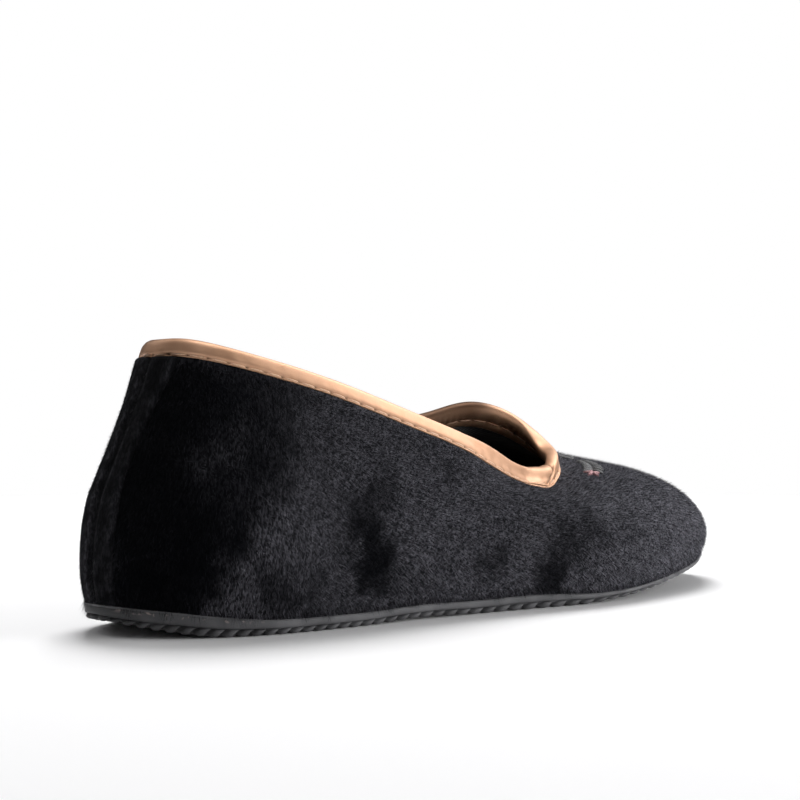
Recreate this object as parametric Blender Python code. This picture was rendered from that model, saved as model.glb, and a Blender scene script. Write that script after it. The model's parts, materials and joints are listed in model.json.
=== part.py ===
"""House slipper for the right foot: a soft velour slip-on with a bound collar and a thin ribbed sole.

Frame: +Y runs from heel to toe, +X towards the outer side of the foot, +Z up, floor at Z = 0.
The origin is under the middle of the slipper.
Sizes are in millimetres here and become metres in the meshes.
"""

from collections import namedtuple

import bpy
import numpy as np

MM = 0.001

# Driving sizes of the last and the shoe
LAST_LENGTH = 240.0        # along the bottom edge of the upper, heel to toe
BALL_WIDTH = 82.0          # over the upper at the ball of the foot
HEEL_HEIGHT = 74.0         # floor to the edge of the upper over the heel
WALL = 2.2                 # velour and lining together
WALL_AT_COLLAR = 1.6       # the same two layers pressed flat inside the binding
COLLAR_PRESS = 0.2         # share of the wall, from the collar down, over which it thins
GAP = 0.3                  # clearance between pieces that touch

# Sole: lift off the floor, in mm and in percent of the last's length
HEEL_SPRING = 4.0
HEEL_SPRING_TO = 10
ARCH_LIFT = 0.6
ARCH_FROM = 27
ARCH_TO = 50
TOE_SPRING = 7.8
TOE_SPRING_FROM = 66
TOE_SPRING_CURVE = 1.2     # 1 lifts the toe on a straight ramp, 2 on a parabola
BALL_LINE_SKEW = 0.13      # the ball line runs forward to the inner side, in percent for each mm across
BALL_LINE = 60             # where that skew is in full, from none at the heel

# Sole: its edge
SOLE_LIP = 0.7             # the sole stands this far out from the bottom edge of the upper
TREAD_STEP = 0.7           # the tread is set in from the band by this much
RIB_PITCH = 4.8
GROOVE_WIDTH = 1.5
GROOVE_SHARE = 0.30        # depth of a groove as a share of the tread
NOTCH_DEPTH = 0.8          # the grooves also notch the tread's side by this much
NOTCH_SLANT = 1.8          # each notch leans this much towards the toe on its way up, like rope strands
GROOVE_FADE = 25.0         # grooves and slant grow to their full size over this length, from heel and toe

# Insole
INSOLE_THICKNESS = 3.6
INSOLE_EDGE = 1.2          # its upper edge is rounded off by this much
INSOLE_STATIONS = 56

# Collar binding
BINDING_LEG = 1.0          # thickness of the folded strip on each face of the wall
BINDING_EDGE = 0.7         # thickness at its two turned edges
BINDING_TOP = 1.5          # thickness over the edge of the wall
BINDING_SHOULDER = 0.6     # where the fold turns down, as a share of that thickness
BINDING_ROUND = 0.75       # how far out the shoulder stands, as a share of a leg
BINDING_OUTSIDE = 4.6      # how far it reaches down the outside
BINDING_INSIDE = 6.2       # how far it reaches down the inside

# Back strip over the heel seam
BACKSTAY_THICKNESS = 1.0
BACKSTAY_EDGE = 0.45       # thickness where it is stitched down
BACKSTAY_BEVEL = 1.6       # width over which it rises to its full thickness
BACKSTAY_SEAM = 0.9        # half width of the groove down its middle
BACKSTAY_LIFT = 0.4        # it starts this far above the bottom edge of the upper
BACKSTAY_ROWS = 12

# Mesh density
AROUND = 88                # columns round the shoe
UP_WALL = 11               # steps from sole to collar
FINE = 720                 # points round the outline from which the sole's edge is measured
KNOT_SPREAD = 0.8          # spacing of the sections' spline: 0.5 hugs close points, 1 follows distance
SHARP_ANGLE = 40           # edges up to this many degrees are shaded smooth

# Thickness of the sole along the last: the smooth side band, and the ribbed tread under it
SoleLevel = namedtuple("SoleLevel", "along band tread")
SOLE_LEVELS = [
    SoleLevel(0,   3.2, 1.1),
    SoleLevel(5,   3.0, 2.7),
    SoleLevel(13,  2.6, 1.8),
    SoleLevel(22,  2.3, 1.5),
    SoleLevel(45,  2.1, 1.6),
    SoleLevel(60,  2.5, 1.4),
    SoleLevel(71,  1.6, 0.8),
    SoleLevel(81,  1.2, 0.4),
    SoleLevel(100, 1.0, 0.4),
]

# Half width of the back strip, by height up the wall in percent
BackstayLevel = namedtuple("BackstayLevel", "up half_width")
BACKSTAY_LEVELS = [
    BackstayLevel(0, 6.5),
    BackstayLevel(35, 6.0),
    BackstayLevel(65, 7.0),
    BackstayLevel(100, 9.5),
]

# One row for each section through the wall, from the back seam along the outer side to the toe and back.
# foot_*: bottom edge, in percent of half the ball width and of the last's length.
# rim_*: collar edge, in the same percents, and its height in percent of the heel height.
# belly_*: how the wall leaves the sole, top_*: how it arrives at the collar, outwards and upwards in mm.
Section = namedtuple("Section", "name foot_across foot_along rim_across rim_along rim_height "
                                "belly_out belly_up top_out top_up")
SECTIONS = [
    Section("heel back",     -2,   0.0,   0,  6.6,  99,   5, 24,  6, -24),
    Section("heel outer",    35,   3.1,  22,  7.8, 101.5, 5, 24,  6, -24),
    Section("heel corner",   61,   8.6,  40, 11.2, 100,   5, 22,  7, -22),
    Section("seat outer",    74,  16.9,  55, 20.2,  92,   6, 18,  7, -20),
    Section("waist outer",   76,  35.4,  61, 35.4,  76.5, 7, 15,  6, -16),
    Section("joint outer",   81,  50.6,  55, 48.6,  63,   8, 13,  9, -10),
    Section("ball outer",    88,  67.8,  40, 57.4,  53,   8, 13, 17,  -3),
    Section("small toe",     70,  80.0,  26, 65.0,  49.5, 8, 13, 25,  -3),
    Section("toe outer",     36,  92.5,  13, 68.2,  54.5, 9, 13, 33,  -5),
    Section("toe tip",      -23, 100.0,  -6, 70.4,  57.5, 7, 14, 41,  -5),
    Section("big toe",      -75,  94.4, -26, 69.6,  70.5, 8, 14, 34,  -5),
    Section("ball inner",  -100,  79.0, -43, 63.0,  76,   8, 14, 22,  -3),
    Section("instep inner", -85,  64.8, -54, 55.7,  71,   8, 16, 11,  -8),
    Section("waist inner",  -54,  41.5, -61, 39.5,  76,   7, 18,  6, -16),
    Section("seat inner",   -61,  18.4, -51, 18.8,  86.5, 6, 18,  7, -20),
    Section("heel hollow",  -54,   8.6, -39, 10.4,  93.5, 5, 22,  7, -22),
    Section("heel inner",   -34,   2.9, -21,  7.8,  95.5, 5, 24,  6, -24),
]


def spline(knots, values, at, period=None):
    """Cubic spline with smooth slope and curvature through (knots, values), natural ends or periodic."""
    knots = np.asarray(knots, float)
    values = np.asarray(values, float)
    count = len(knots)
    if period is None:
        spans = np.diff(knots)
    else:
        spans = np.diff(np.append(knots, knots[0] + period))
    system = np.eye(count)
    right = np.zeros_like(values)
    inner = range(count) if period is not None else range(1, count - 1)
    for i in inner:
        before, after = spans[i - 1], spans[i]
        ahead = (i + 1) % count
        system[i] = 0
        system[i, i - 1] += before
        system[i, i] += 2 * (before + after)
        system[i, ahead] += after
        right[i] = 6 * ((values[ahead] - values[i]) / after - (values[i] - values[i - 1]) / before)
    bend = np.linalg.solve(system, right)
    at = np.asarray(at, float)
    low = np.clip(np.searchsorted(knots, at, side="right") - 1, 0, len(spans) - 1)
    high = (low + 1) % count
    span = spans[low]
    far = (at - knots[low]) / span
    near = 1 - far
    shape = (-1,) + (1,) * (values.ndim - 1)
    near, far, span = near.reshape(shape), far.reshape(shape), span.reshape(shape)
    return (near * values[low] + far * values[high]
            + ((near**3 - near) * bend[low] + (far**3 - far) * bend[high]) * span**2 / 6)


def walking_line(plan):
    """How far plan points lie along the last, in percent, measured square to the skewed ball line."""
    along = plan[:, 1] / LAST_LENGTH * 100
    return along + BALL_LINE_SKEW * plan[:, 0] * np.clip(along / BALL_LINE, 0, 1)


def tread_floor(plan):
    """Height of the tread over the floor: flat under heel and ball, raised at heel back, arch and toe."""
    along = walking_line(plan)
    heel = np.clip((HEEL_SPRING_TO - along) / HEEL_SPRING_TO, 0, 1)
    arch = np.clip((along - ARCH_FROM) / (ARCH_TO - ARCH_FROM), 0, 1)
    toe = np.clip((along - TOE_SPRING_FROM) / (100 - TOE_SPRING_FROM), 0, 1)
    raised_arch = ARCH_LIFT * np.sin(np.pi * arch)**2
    return HEEL_SPRING * heel**2 + raised_arch + TOE_SPRING * toe**TOE_SPRING_CURVE


def sole_layer(name, plan):
    """Thickness of the sole's band or tread at plan points."""
    along = np.clip(walking_line(plan), 0, 100)
    stations = [level.along for level in SOLE_LEVELS]
    return spline(stations, [getattr(level, name) for level in SOLE_LEVELS], along)


def sole_top(plan):
    return tread_floor(plan) + sole_layer("tread", plan) + sole_layer("band", plan)


def section_spline():
    """SECTIONS in mm with the knots at which a spline round the shoe passes through them."""
    half, length = BALL_WIDTH / 2 / 100, LAST_LENGTH / 100
    scale = np.array([half, length, half, length, HEEL_HEIGHT / 100, 1, 1, 1, 1])
    rows = np.array([row[1:] for row in SECTIONS]) * scale
    ahead = np.roll(rows, -1, axis=0)
    steps = np.linalg.norm(ahead[:, :2] - rows[:, :2], axis=1) ** KNOT_SPREAD
    knots = np.concatenate([[0], np.cumsum(steps)[:-1]])
    return knots, rows, steps.sum()


def plan_normals(loop):
    """Outward directions of a closed plan outline that runs anticlockwise seen from above."""
    along = np.roll(loop, -1, axis=0) - np.roll(loop, 1, axis=0)
    out = np.stack([along[:, 1], -along[:, 0]], axis=1)
    return out / np.linalg.norm(out, axis=1)[:, None]


def read_columns():
    """The columns of SECTIONS at AROUND places round the shoe, crowded where the outline turns."""
    knots, rows, period = section_spline()
    fine_at = np.arange(FINE) * period / FINE
    outline = spline(knots, rows, fine_at, period)[:, :2]
    ahead = np.roll(outline, -1, axis=0) - outline
    steps = np.linalg.norm(ahead, axis=1)
    heading = np.arctan2(ahead[:, 1], ahead[:, 0])
    turn = np.abs((np.roll(heading, -1) - heading + np.pi) % (2 * np.pi) - np.pi)
    weight = np.cumsum(steps / steps.sum() + turn / turn.sum())
    ends = np.concatenate([[0], weight])
    at = np.interp(np.arange(AROUND) * ends[-1] / AROUND, ends, np.append(fine_at, period))
    return spline(knots, rows, at, period)


def wall_surface(columns):
    """Outer face of the upper as a grid: columns round the shoe, rows from sole to collar."""
    foot, rim = columns[:, 0:2], columns[:, 2:5]
    belly_out, belly_up, top_out, top_up = columns[:, 5:9].T
    outward = np.pad(plan_normals(foot), ((0, 0), (0, 1)))
    upward = np.array([0.0, 0.0, 1.0])
    bottom = np.column_stack([foot, sole_top(foot) + GAP])
    belly = bottom + outward * belly_out[:, None] + upward * belly_up[:, None]
    top = rim + outward * top_out[:, None] + upward * top_up[:, None]
    share = np.linspace(0, 1, UP_WALL + 1)[None, :, None]
    return ((1 - share)**3 * bottom[:, None] + 3 * share * (1 - share)**2 * belly[:, None]
            + 3 * share**2 * (1 - share) * top[:, None] + share**3 * rim[:, None])


def wall_normals(wall):
    """Outward normals of the wall grid."""
    around = np.roll(wall, -1, axis=0) - np.roll(wall, 1, axis=0)
    upwards = np.gradient(wall, axis=1)
    normals = np.cross(around, upwards)
    return normals / np.linalg.norm(normals, axis=2)[:, :, None]


def wall_thickness(rows):
    share = np.linspace(0, 1, rows)
    pressed = np.clip((share - 1 + COLLAR_PRESS) / COLLAR_PRESS, 0, 1)
    return WALL + (WALL_AT_COLLAR - WALL) * pressed


def inner_face(wall, normals):
    return wall - normals * wall_thickness(wall.shape[1])[None, :, None]


def down_the_wall(face, normals, distance):
    """Points and normals at a distance below the collar edge, measured along each column of a face."""
    points, directions = [], []
    for column, normal in zip(face[:, ::-1], normals[:, ::-1]):
        run = np.linalg.norm(np.diff(column, axis=0), axis=1)
        travelled = np.concatenate([[0], np.cumsum(run)])
        points.append([np.interp(distance, travelled, column[:, axis]) for axis in range(3)])
        directions.append([np.interp(distance, travelled, normal[:, axis]) for axis in range(3)])
    return np.array(points), np.array(directions)


def ring_faces(around, rows):
    """Quads of a grid that is closed both round the shoe and along its rows."""
    return [
        (i * rows + j, ((i + 1) % around) * rows + j,
         ((i + 1) % around) * rows + (j + 1) % rows, i * rows + (j + 1) % rows)
        for i in range(around) for j in range(rows)
    ]


def bar_faces(stations, rows):
    """Quads of a bar of closed cross-sections, with a flat end at each side."""
    sides = [
        (i * rows + j, i * rows + (j + 1) % rows, (i + 1) * rows + (j + 1) % rows, (i + 1) * rows + j)
        for i in range(stations - 1) for j in range(rows)
    ]
    first = tuple(reversed(range(rows)))
    last = tuple((stations - 1) * rows + j for j in range(rows))
    return sides + [first, last]


def edge_paths(at):
    """Places on the outer and inner edge of the last, from heel (0) to toe (1), with outward directions."""
    knots, rows, period = section_spline()
    outline = spline(knots, rows, np.arange(FINE) * period / FINE, period)[:, :2]
    outward = plan_normals(outline)
    toe = int(np.argmax(outline[:, 1]))
    outer = np.arange(toe + 1)
    inner = np.append(0, np.arange(FINE - 1, toe - 1, -1))
    paths = []
    for side in (outer, inner):
        run = np.linalg.norm(np.diff(outline[side], axis=0), axis=1)
        travelled = np.concatenate([[0], np.cumsum(run)])
        place = at * travelled[-1]
        point = np.stack([np.interp(place, travelled, outline[side, axis]) for axis in (0, 1)], axis=1)
        normal = np.stack([np.interp(place, travelled, outward[side, axis]) for axis in (0, 1)], axis=1)
        paths.append((point, normal, travelled[-1]))
    return paths


def make_upper(wall, normals):
    """The velour shell: outer face, collar edge, inner face and bottom edge in one closed ring of rows."""
    shell = np.concatenate([wall, inner_face(wall, normals)[:, ::-1]], axis=1)
    return shell.reshape(-1, 3), ring_faces(AROUND, shell.shape[1])


def make_binding(wall, normals):
    """The collar strip, folded over the edge of the wall: a U-section all the way round."""
    lining, facing = inner_face(wall, normals), -normals
    rim_out, out = down_the_wall(wall, normals, 0)
    rim_in, into = down_the_wall(lining, facing, 0)
    mid_out, mid_out_normal = down_the_wall(wall, normals, BINDING_OUTSIDE / 2)
    mid_in, mid_in_normal = down_the_wall(lining, facing, BINDING_INSIDE / 2)
    low_out, low_out_normal = down_the_wall(wall, normals, BINDING_OUTSIDE)
    low_in, low_in_normal = down_the_wall(lining, facing, BINDING_INSIDE)
    upward = rim_out - mid_out
    upward = upward / np.linalg.norm(upward, axis=1)[:, None]
    full, thin = GAP + BINDING_LEG, GAP + BINDING_EDGE
    shoulder, crown = GAP + BINDING_TOP * BINDING_SHOULDER, GAP + BINDING_TOP
    section = [
        low_out + low_out_normal * GAP,
        low_out + low_out_normal * thin,
        mid_out + mid_out_normal * full,
        rim_out + out * full,
        rim_out + out * full * BINDING_ROUND + upward * shoulder,
        (rim_out + rim_in) / 2 + upward * crown,
        rim_in + into * full * BINDING_ROUND + upward * shoulder,
        rim_in + into * full,
        mid_in + mid_in_normal * full,
        low_in + low_in_normal * thin,
        low_in + low_in_normal * GAP,
        mid_in + mid_in_normal * GAP,
        rim_in + into * GAP + upward * GAP,
        rim_out + out * GAP + upward * GAP,
        mid_out + mid_out_normal * GAP,
    ]
    ring = np.stack(section, axis=1)
    return ring.reshape(-1, 3), ring_faces(AROUND, ring.shape[1])


def make_backstay(wall, normals):
    """The strip over the heel seam: two raised halves with a groove between them, laid on the wall."""
    length = np.linalg.norm(np.diff(wall[0], axis=0), axis=1).sum()
    lowest, highest = length - BACKSTAY_LIFT, BINDING_OUTSIDE + GAP
    laid, outer = [], []
    for share in np.linspace(0, 1, BACKSTAY_ROWS):
        half_width = np.interp(share * 100, [level.up for level in BACKSTAY_LEVELS],
                               [level.half_width for level in BACKSTAY_LEVELS])
        row, row_normals = down_the_wall(wall, normals, lowest + (highest - lowest) * share)
        row, row_normals = np.roll(row, AROUND // 2, axis=0), np.roll(row_normals, AROUND // 2, axis=0)
        run = np.linalg.norm(np.diff(row, axis=0), axis=1)
        travelled = np.concatenate([[0], np.cumsum(run)])
        travelled = travelled - travelled[AROUND // 2]
        middle = (half_width + BACKSTAY_SEAM) / 2
        side = np.array([half_width, half_width - BACKSTAY_BEVEL, middle, BACKSTAY_SEAM])
        across = np.concatenate([-side, [0], side[::-1]])
        rise = np.array([BACKSTAY_EDGE, BACKSTAY_THICKNESS, BACKSTAY_THICKNESS, BACKSTAY_THICKNESS])
        height = np.concatenate([rise, [BACKSTAY_EDGE], rise[::-1]]) + GAP
        point = np.stack([np.interp(across, travelled, row[:, axis]) for axis in range(3)], axis=1)
        normal = np.stack([np.interp(across, travelled, row_normals[:, axis]) for axis in range(3)], axis=1)
        laid.append(point + normal * GAP)
        outer.append(point + normal * height[:, None])
    strip = np.concatenate([np.array(outer), np.array(laid)[:, ::-1]], axis=1)
    return strip.reshape(-1, 3), bar_faces(BACKSTAY_ROWS, strip.shape[1])


def make_outsole():
    """The rubber sole: a smooth band over a ribbed tread, as cross-sections from heel to toe."""
    length = np.mean([path[2] for path in edge_paths(np.array([0.0, 1.0]))])
    ribs = round(length / RIB_PITCH)
    half_groove = GROOVE_WIDTH / RIB_PITCH / 2
    at = (np.arange(ribs)[:, None] + np.array([half_groove, 1 - half_groove, 1])).ravel()[:-1] / ribs
    groove = np.tile([0.0, 0.0, 1.0], ribs)[:-1]
    from_end = np.minimum(at, 1 - at) * length
    fade = np.clip(from_end / GROOVE_FADE, 0, 1)
    inset = (SOLE_LIP - TREAD_STEP - groove * NOTCH_DEPTH)[:, None]
    halves = []
    for low, high in zip(edge_paths(at), edge_paths(at + fade * NOTCH_SLANT / length)):
        (foot, foot_out, _), (step, step_out, _) = low, high
        lift = tread_floor(foot) + sole_layer("tread", foot) * groove * fade * GROOVE_SHARE
        step_height = tread_floor(step) + sole_layer("tread", step)
        halves.append([
            np.column_stack([foot + foot_out * inset, lift]),
            np.column_stack([step + step_out * inset, step_height]),
            np.column_stack([step + step_out * SOLE_LIP, step_height]),
            np.column_stack([step + step_out * SOLE_LIP, sole_top(step)]),
        ])
    outer, inner = halves
    bar = np.stack(inner + outer[::-1], axis=1)
    return bar.reshape(-1, 3), bar_faces(len(at), bar.shape[1])


def make_insole():
    """The padded sock that lies on the sole inside the upper, with a rounded upper edge."""
    at = (np.arange(INSOLE_STATIONS) + 0.5) / INSOLE_STATIONS
    halves = []
    for point, normal, _ in edge_paths(at):
        edge = point - normal * (WALL + 2 * GAP)
        crown = edge - normal * INSOLE_EDGE
        base = sole_top(point) + GAP
        halves.append([
            np.column_stack([edge, base]),
            np.column_stack([edge, base + INSOLE_THICKNESS - INSOLE_EDGE]),
            np.column_stack([crown, base + INSOLE_THICKNESS]),
        ])
    outer, inner = halves
    bar = np.stack(inner + outer[::-1], axis=1)
    return bar.reshape(-1, 3), bar_faces(len(at), bar.shape[1])


def finish(name, colour, roughness):
    material = bpy.data.materials.new(name)
    material.use_nodes = True
    shader = material.node_tree.nodes["Principled BSDF"]
    shader.inputs["Base Color"].default_value = (*colour, 1)
    shader.inputs["Roughness"].default_value = roughness
    return material


def add_piece(name, points, faces, material):
    """An object from points in mm and faces, shaded smooth up to a sharp angle."""
    mesh = bpy.data.meshes.new(name)
    mesh.from_pydata((points * MM).tolist(), [], [list(face) for face in faces])
    mesh.shade_smooth()
    mesh.set_sharp_from_angle(angle=np.radians(SHARP_ANGLE))
    mesh.materials.append(material)
    piece = bpy.data.objects.new(name, mesh)
    bpy.context.scene.collection.objects.link(piece)


def clear_scene():
    for thing in list(bpy.data.objects):
        bpy.data.objects.remove(thing, do_unlink=True)


def main():
    clear_scene()
    columns = read_columns()
    wall = wall_surface(columns)
    normals = wall_normals(wall)
    velour = finish("black velour", (0.012, 0.012, 0.015), 0.95)
    pieces = {
        "outsole": (*make_outsole(), finish("dark grey rubber", (0.03, 0.03, 0.032), 0.6)),
        "insole": (*make_insole(), finish("black sock cloth", (0.015, 0.015, 0.016), 0.9)),
        "upper": (*make_upper(wall, normals), velour),
        "heel_backstay": (*make_backstay(wall, normals), velour),
        "collar_binding": (*make_binding(wall, normals), finish("copper satin", (0.62, 0.30, 0.19), 0.4)),
    }
    everything = np.concatenate([points for points, _, _ in pieces.values()])
    middle = (everything.min(axis=0) + everything.max(axis=0)) / 2
    on_the_floor = middle * np.array([1, 1, 0])
    for name, (points, faces, material) in pieces.items():
        add_piece(name, points - on_the_floor, faces, material)


main()
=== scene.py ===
# %% [markdown]
# A velour house slipper for the right foot, dressed in Blender.
# The solids of the slipper come packed from CAD: sole, sock, upper, collar binding and the strip over the
# heel seam. They stay where they are. Soft things such as pile, folds, thread and glue are made here, on top
# of them or in their place, so the solids keep the sizes and this file keeps the looks.

import json
import math

import bpy
import numpy as np
from mathutils import Matrix, Vector
from mathutils.bvhtree import BVHTree
from mathutils.kdtree import KDTree

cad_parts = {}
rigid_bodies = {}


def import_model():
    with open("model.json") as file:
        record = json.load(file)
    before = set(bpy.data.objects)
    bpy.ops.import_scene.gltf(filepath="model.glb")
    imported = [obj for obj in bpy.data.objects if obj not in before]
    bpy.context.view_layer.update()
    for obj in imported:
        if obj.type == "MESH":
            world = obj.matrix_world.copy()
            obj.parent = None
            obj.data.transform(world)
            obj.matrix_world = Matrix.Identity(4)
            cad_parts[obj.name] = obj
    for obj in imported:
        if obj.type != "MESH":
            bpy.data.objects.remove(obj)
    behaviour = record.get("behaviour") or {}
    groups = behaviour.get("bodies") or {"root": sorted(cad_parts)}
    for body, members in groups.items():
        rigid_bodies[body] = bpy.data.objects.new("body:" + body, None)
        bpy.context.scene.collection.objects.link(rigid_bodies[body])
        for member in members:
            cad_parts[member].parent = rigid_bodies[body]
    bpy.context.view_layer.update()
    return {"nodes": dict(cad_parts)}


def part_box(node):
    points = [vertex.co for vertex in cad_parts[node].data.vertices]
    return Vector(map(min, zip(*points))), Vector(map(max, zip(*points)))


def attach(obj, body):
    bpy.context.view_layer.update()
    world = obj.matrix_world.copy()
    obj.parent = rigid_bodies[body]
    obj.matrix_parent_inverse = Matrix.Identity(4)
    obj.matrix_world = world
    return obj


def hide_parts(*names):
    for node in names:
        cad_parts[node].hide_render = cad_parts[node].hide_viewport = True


bpy.ops.object.select_all(action="SELECT")
bpy.ops.object.delete()
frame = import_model()
MM = 0.001
print("frame:", ", ".join(sorted(frame["nodes"])))

# %% [markdown]
# The camera stands where the photographer stood: low, off the outer corner of the heel. A lens of about
# 107 mm on a 36 mm sensor keeps heel and toe almost the same size. The camera turns until the slipper
# falls on its place in the frame, so no lens shift is needed and other views stay centred.

# %% Camera
VIEW_AZIMUTH, VIEW_ELEVATION = math.radians(46.12), math.radians(4.24)
VIEW_DISTANCE = 0.700
LOOKED_AT = Vector((2.45, 2.62, 25.0)) * MM
LOOKED_AT_PIXEL = Vector((438, 516))
FRAME_PIXELS = 800
PIXELS_PER_METRE = 3400.0
SENSOR = 36.0

away = Vector((math.sin(VIEW_AZIMUTH) * math.cos(VIEW_ELEVATION),
               -math.cos(VIEW_AZIMUTH) * math.cos(VIEW_ELEVATION), math.sin(VIEW_ELEVATION)))
rightward = Vector((math.cos(VIEW_AZIMUTH), math.sin(VIEW_AZIMUTH), 0))
upward = away.cross(rightward)
focal_pixels = PIXELS_PER_METRE * VIEW_DISTANCE
off_centre = LOOKED_AT_PIXEL - Vector((FRAME_PIXELS / 2, FRAME_PIXELS / 2))
ahead = -away * focal_pixels - rightward * off_centre.x + upward * off_centre.y

lens = bpy.data.cameras.new("photo camera")
lens.sensor_width = SENSOR
lens.lens = focal_pixels * SENSOR / FRAME_PIXELS
camera = bpy.data.objects.new("photo camera", lens)
camera.location = LOOKED_AT + away * VIEW_DISTANCE
camera.rotation_euler = ahead.to_track_quat("-Z", "Y").to_euler()
bpy.context.scene.collection.objects.link(camera)
bpy.context.scene.camera = camera
print(f"camera: lens {lens.lens:.1f} mm")

# %% [markdown]
# The photograph has a white ground with a soft shadow close to the sole. The main light falls from high above
# the inner side, so the shadow lies towards the viewer. A softbox and a low card beyond the toe light the
# outer side, so the heel turns dark. A pale floor, large soft lamps and a dim room give that, and only the
# camera sees the room as white. The two reflectors light nothing: they show in gloss, mostly in the copper.

# %% Floor and light
FLOOR_RADIUS = 0.5
# a hair below the ribs, so that the two never lie in one plane
FLOOR_DROP = -0.05 * MM
PAPER_WHITE, PAPER_ROUGH = (0.965, 0.962, 0.97, 1), 0.8


def soft_lamp(name, place, aim, size, watts, lights=True, in_reflections=True):
    """An area lamp of a width and height at place, turned to aim; it lights, shows in gloss, or both."""
    lamp = bpy.data.lights.new(name, "AREA")
    lamp.shape = "RECTANGLE"
    lamp.size, lamp.size_y = size
    lamp.energy = watts
    holder = bpy.data.objects.new(name, lamp)
    holder.location = place
    holder.rotation_euler = (Vector(aim) - Vector(place)).to_track_quat("-Z", "Y").to_euler()
    holder.visible_diffuse = lights
    holder.visible_glossy = in_reflections
    bpy.context.scene.collection.objects.link(holder)


def start_fresh():
    """Operators act on all that is selected, so each step starts with nothing selected."""
    bpy.ops.object.select_all(action="DESELECT")


start_fresh()
bpy.ops.mesh.primitive_circle_add(vertices=128, radius=FLOOR_RADIUS, fill_type="NGON",
                                  location=(0, 0, FLOOR_DROP))
floor = bpy.context.object
floor.name = "floor"
paper = bpy.data.materials.new("pale paper")
paper.use_nodes = True
paper.node_tree.nodes["Principled BSDF"].inputs["Base Color"].default_value = PAPER_WHITE
paper.node_tree.nodes["Principled BSDF"].inputs["Roughness"].default_value = PAPER_ROUGH
floor.data.materials.append(paper)

ABOVE_FLOOR = (0, 0, 0.03)
soft_lamp("high softbox", (-0.58, 0.50, 1.30), ABOVE_FLOOR, (0.7, 0.7), 22.5, in_reflections=False)
soft_lamp("overhead softbox", (0.15, 0.05, 1.35), ABOVE_FLOOR, (0.8, 0.8), 0.6, in_reflections=False)
soft_lamp("right softbox", (0.95, 1.15, 0.50), ABOVE_FLOOR, (1.0, 0.8), 10)
soft_lamp("left softbox", (-0.90, -0.45, 0.90), ABOVE_FLOOR, (0.8, 0.8), 3)
soft_lamp("low white card", (0.95, 0.70, 0.13), ABOVE_FLOOR, (1.0, 0.25), 10, in_reflections=False)
soft_lamp("top reflector", (0.22, -0.05, 1.30), ABOVE_FLOOR, (0.9, 0.9), 15, lights=False)
soft_lamp("back reflector", (0.10, 1.00, 0.92), ABOVE_FLOOR, (0.8, 0.8), 10, lights=False)
ROOM_FILL = 0.12
world = bpy.data.worlds.new("white room")
world.use_nodes = True
room = world.node_tree
rays = room.nodes.new("ShaderNodeLightPath")
level = room.nodes.new("ShaderNodeMapRange")
level.inputs["To Min"].default_value = ROOM_FILL
room.links.new(rays.outputs["Is Camera Ray"], level.inputs["Value"])
room.nodes["Background"].inputs["Color"].default_value = (1, 1, 1, 1)
room.links.new(level.outputs["Result"], room.nodes["Background"].inputs["Strength"])
bpy.context.scene.world = world
bpy.context.scene.view_settings.view_transform = "Standard"
print("floor, white room, five lamps and two reflectors")

# %% [markdown]
# A shoemaker pulls the upper over a last, so the wall of the slipper is one surface that runs from the
# sole's edge to the collar. Seventeen sections through the last were chosen from the photograph;
# they are close to those of the CAD source. A smooth closed spline runs round through them, and each
# section is a Bezier curve from the sole to the collar. With this one table of places and normals, every
# soft piece can be laid on the same wall: pile, binding, stitches and the strip over the heel seam.

# %% The last
HALF_BALL_WIDTH, LAST_LENGTH, HEEL_HEIGHT = 41.0, 240.0, 74.0
GAP = 0.3
KNOT_SPREAD = 0.8
# foot: bottom edge, in percent of half the ball width and of the length. rim: collar edge, with its height
# in percent of the heel height. belly and top: how the wall leaves the sole and meets the collar, in mm.
SECTIONS = {
    # name:       foot across, along, rim across, along, height, belly out, up, top out, up
    "heel back":    (-2,    0.0,    3,  7.5, 102.0,  6, 22, 7.5, -22),
    "heel outer":   (35,    3.1,   22,  8.2, 102.3,  5, 24,   7, -22),
    "heel corner":  (61,    8.6,   40, 11.2, 100.0,  5, 22,   7, -22),
    "seat outer":   (74,   16.9,   55, 20.2,  92.0,  6, 18,   7, -20),
    "waist outer":  (76,   35.4,   61, 35.4,  76.5,  7, 15,   6, -16),
    "joint outer":  (81,   50.6,   55, 48.6,  63.0,  8, 13,   9, -10),
    "ball outer":   (88,   67.8,   40, 57.4,  53.0,  8, 13,  17,  -3),
    "small toe":    (70,   80.0,   26, 65.0,  49.5,  8, 13,  25,  -3),
    "toe outer":    (36,   92.5,   13, 69.2,  54.5,  9, 13,  33,  -5),
    "toe tip":     (-23,  100.0,   -6, 71.4,  59.0,  7, 14,  41,  -5),
    "big toe":     (-75,   94.4,  -26, 70.2,  68.0,  8, 14,  34,  -5),
    "ball inner": (-100,   79.0,  -43, 63.0,  76.0,  8, 14,  22,  -3),
    "instep inner": (-85,  64.8,  -54, 55.7,  71.0,  8, 16,  11,  -8),
    "waist inner":  (-54,  41.5,  -61, 39.5,  76.0,  7, 18,   6, -16),
    "seat inner":   (-61,  18.4,  -51, 18.8,  86.5,  6, 18,   7, -20),
    "heel hollow":  (-54,   8.6,  -34, 10.6,  93.5,  5, 22,   7, -22),
    "heel inner":   (-34,   2.9,  -14,  8.2, 100.5,  6, 22,   7, -22),
}
AROUND, UP = 1440, 90
print(f"last: {len(SECTIONS)} sections")

# %% A closed spline


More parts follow.
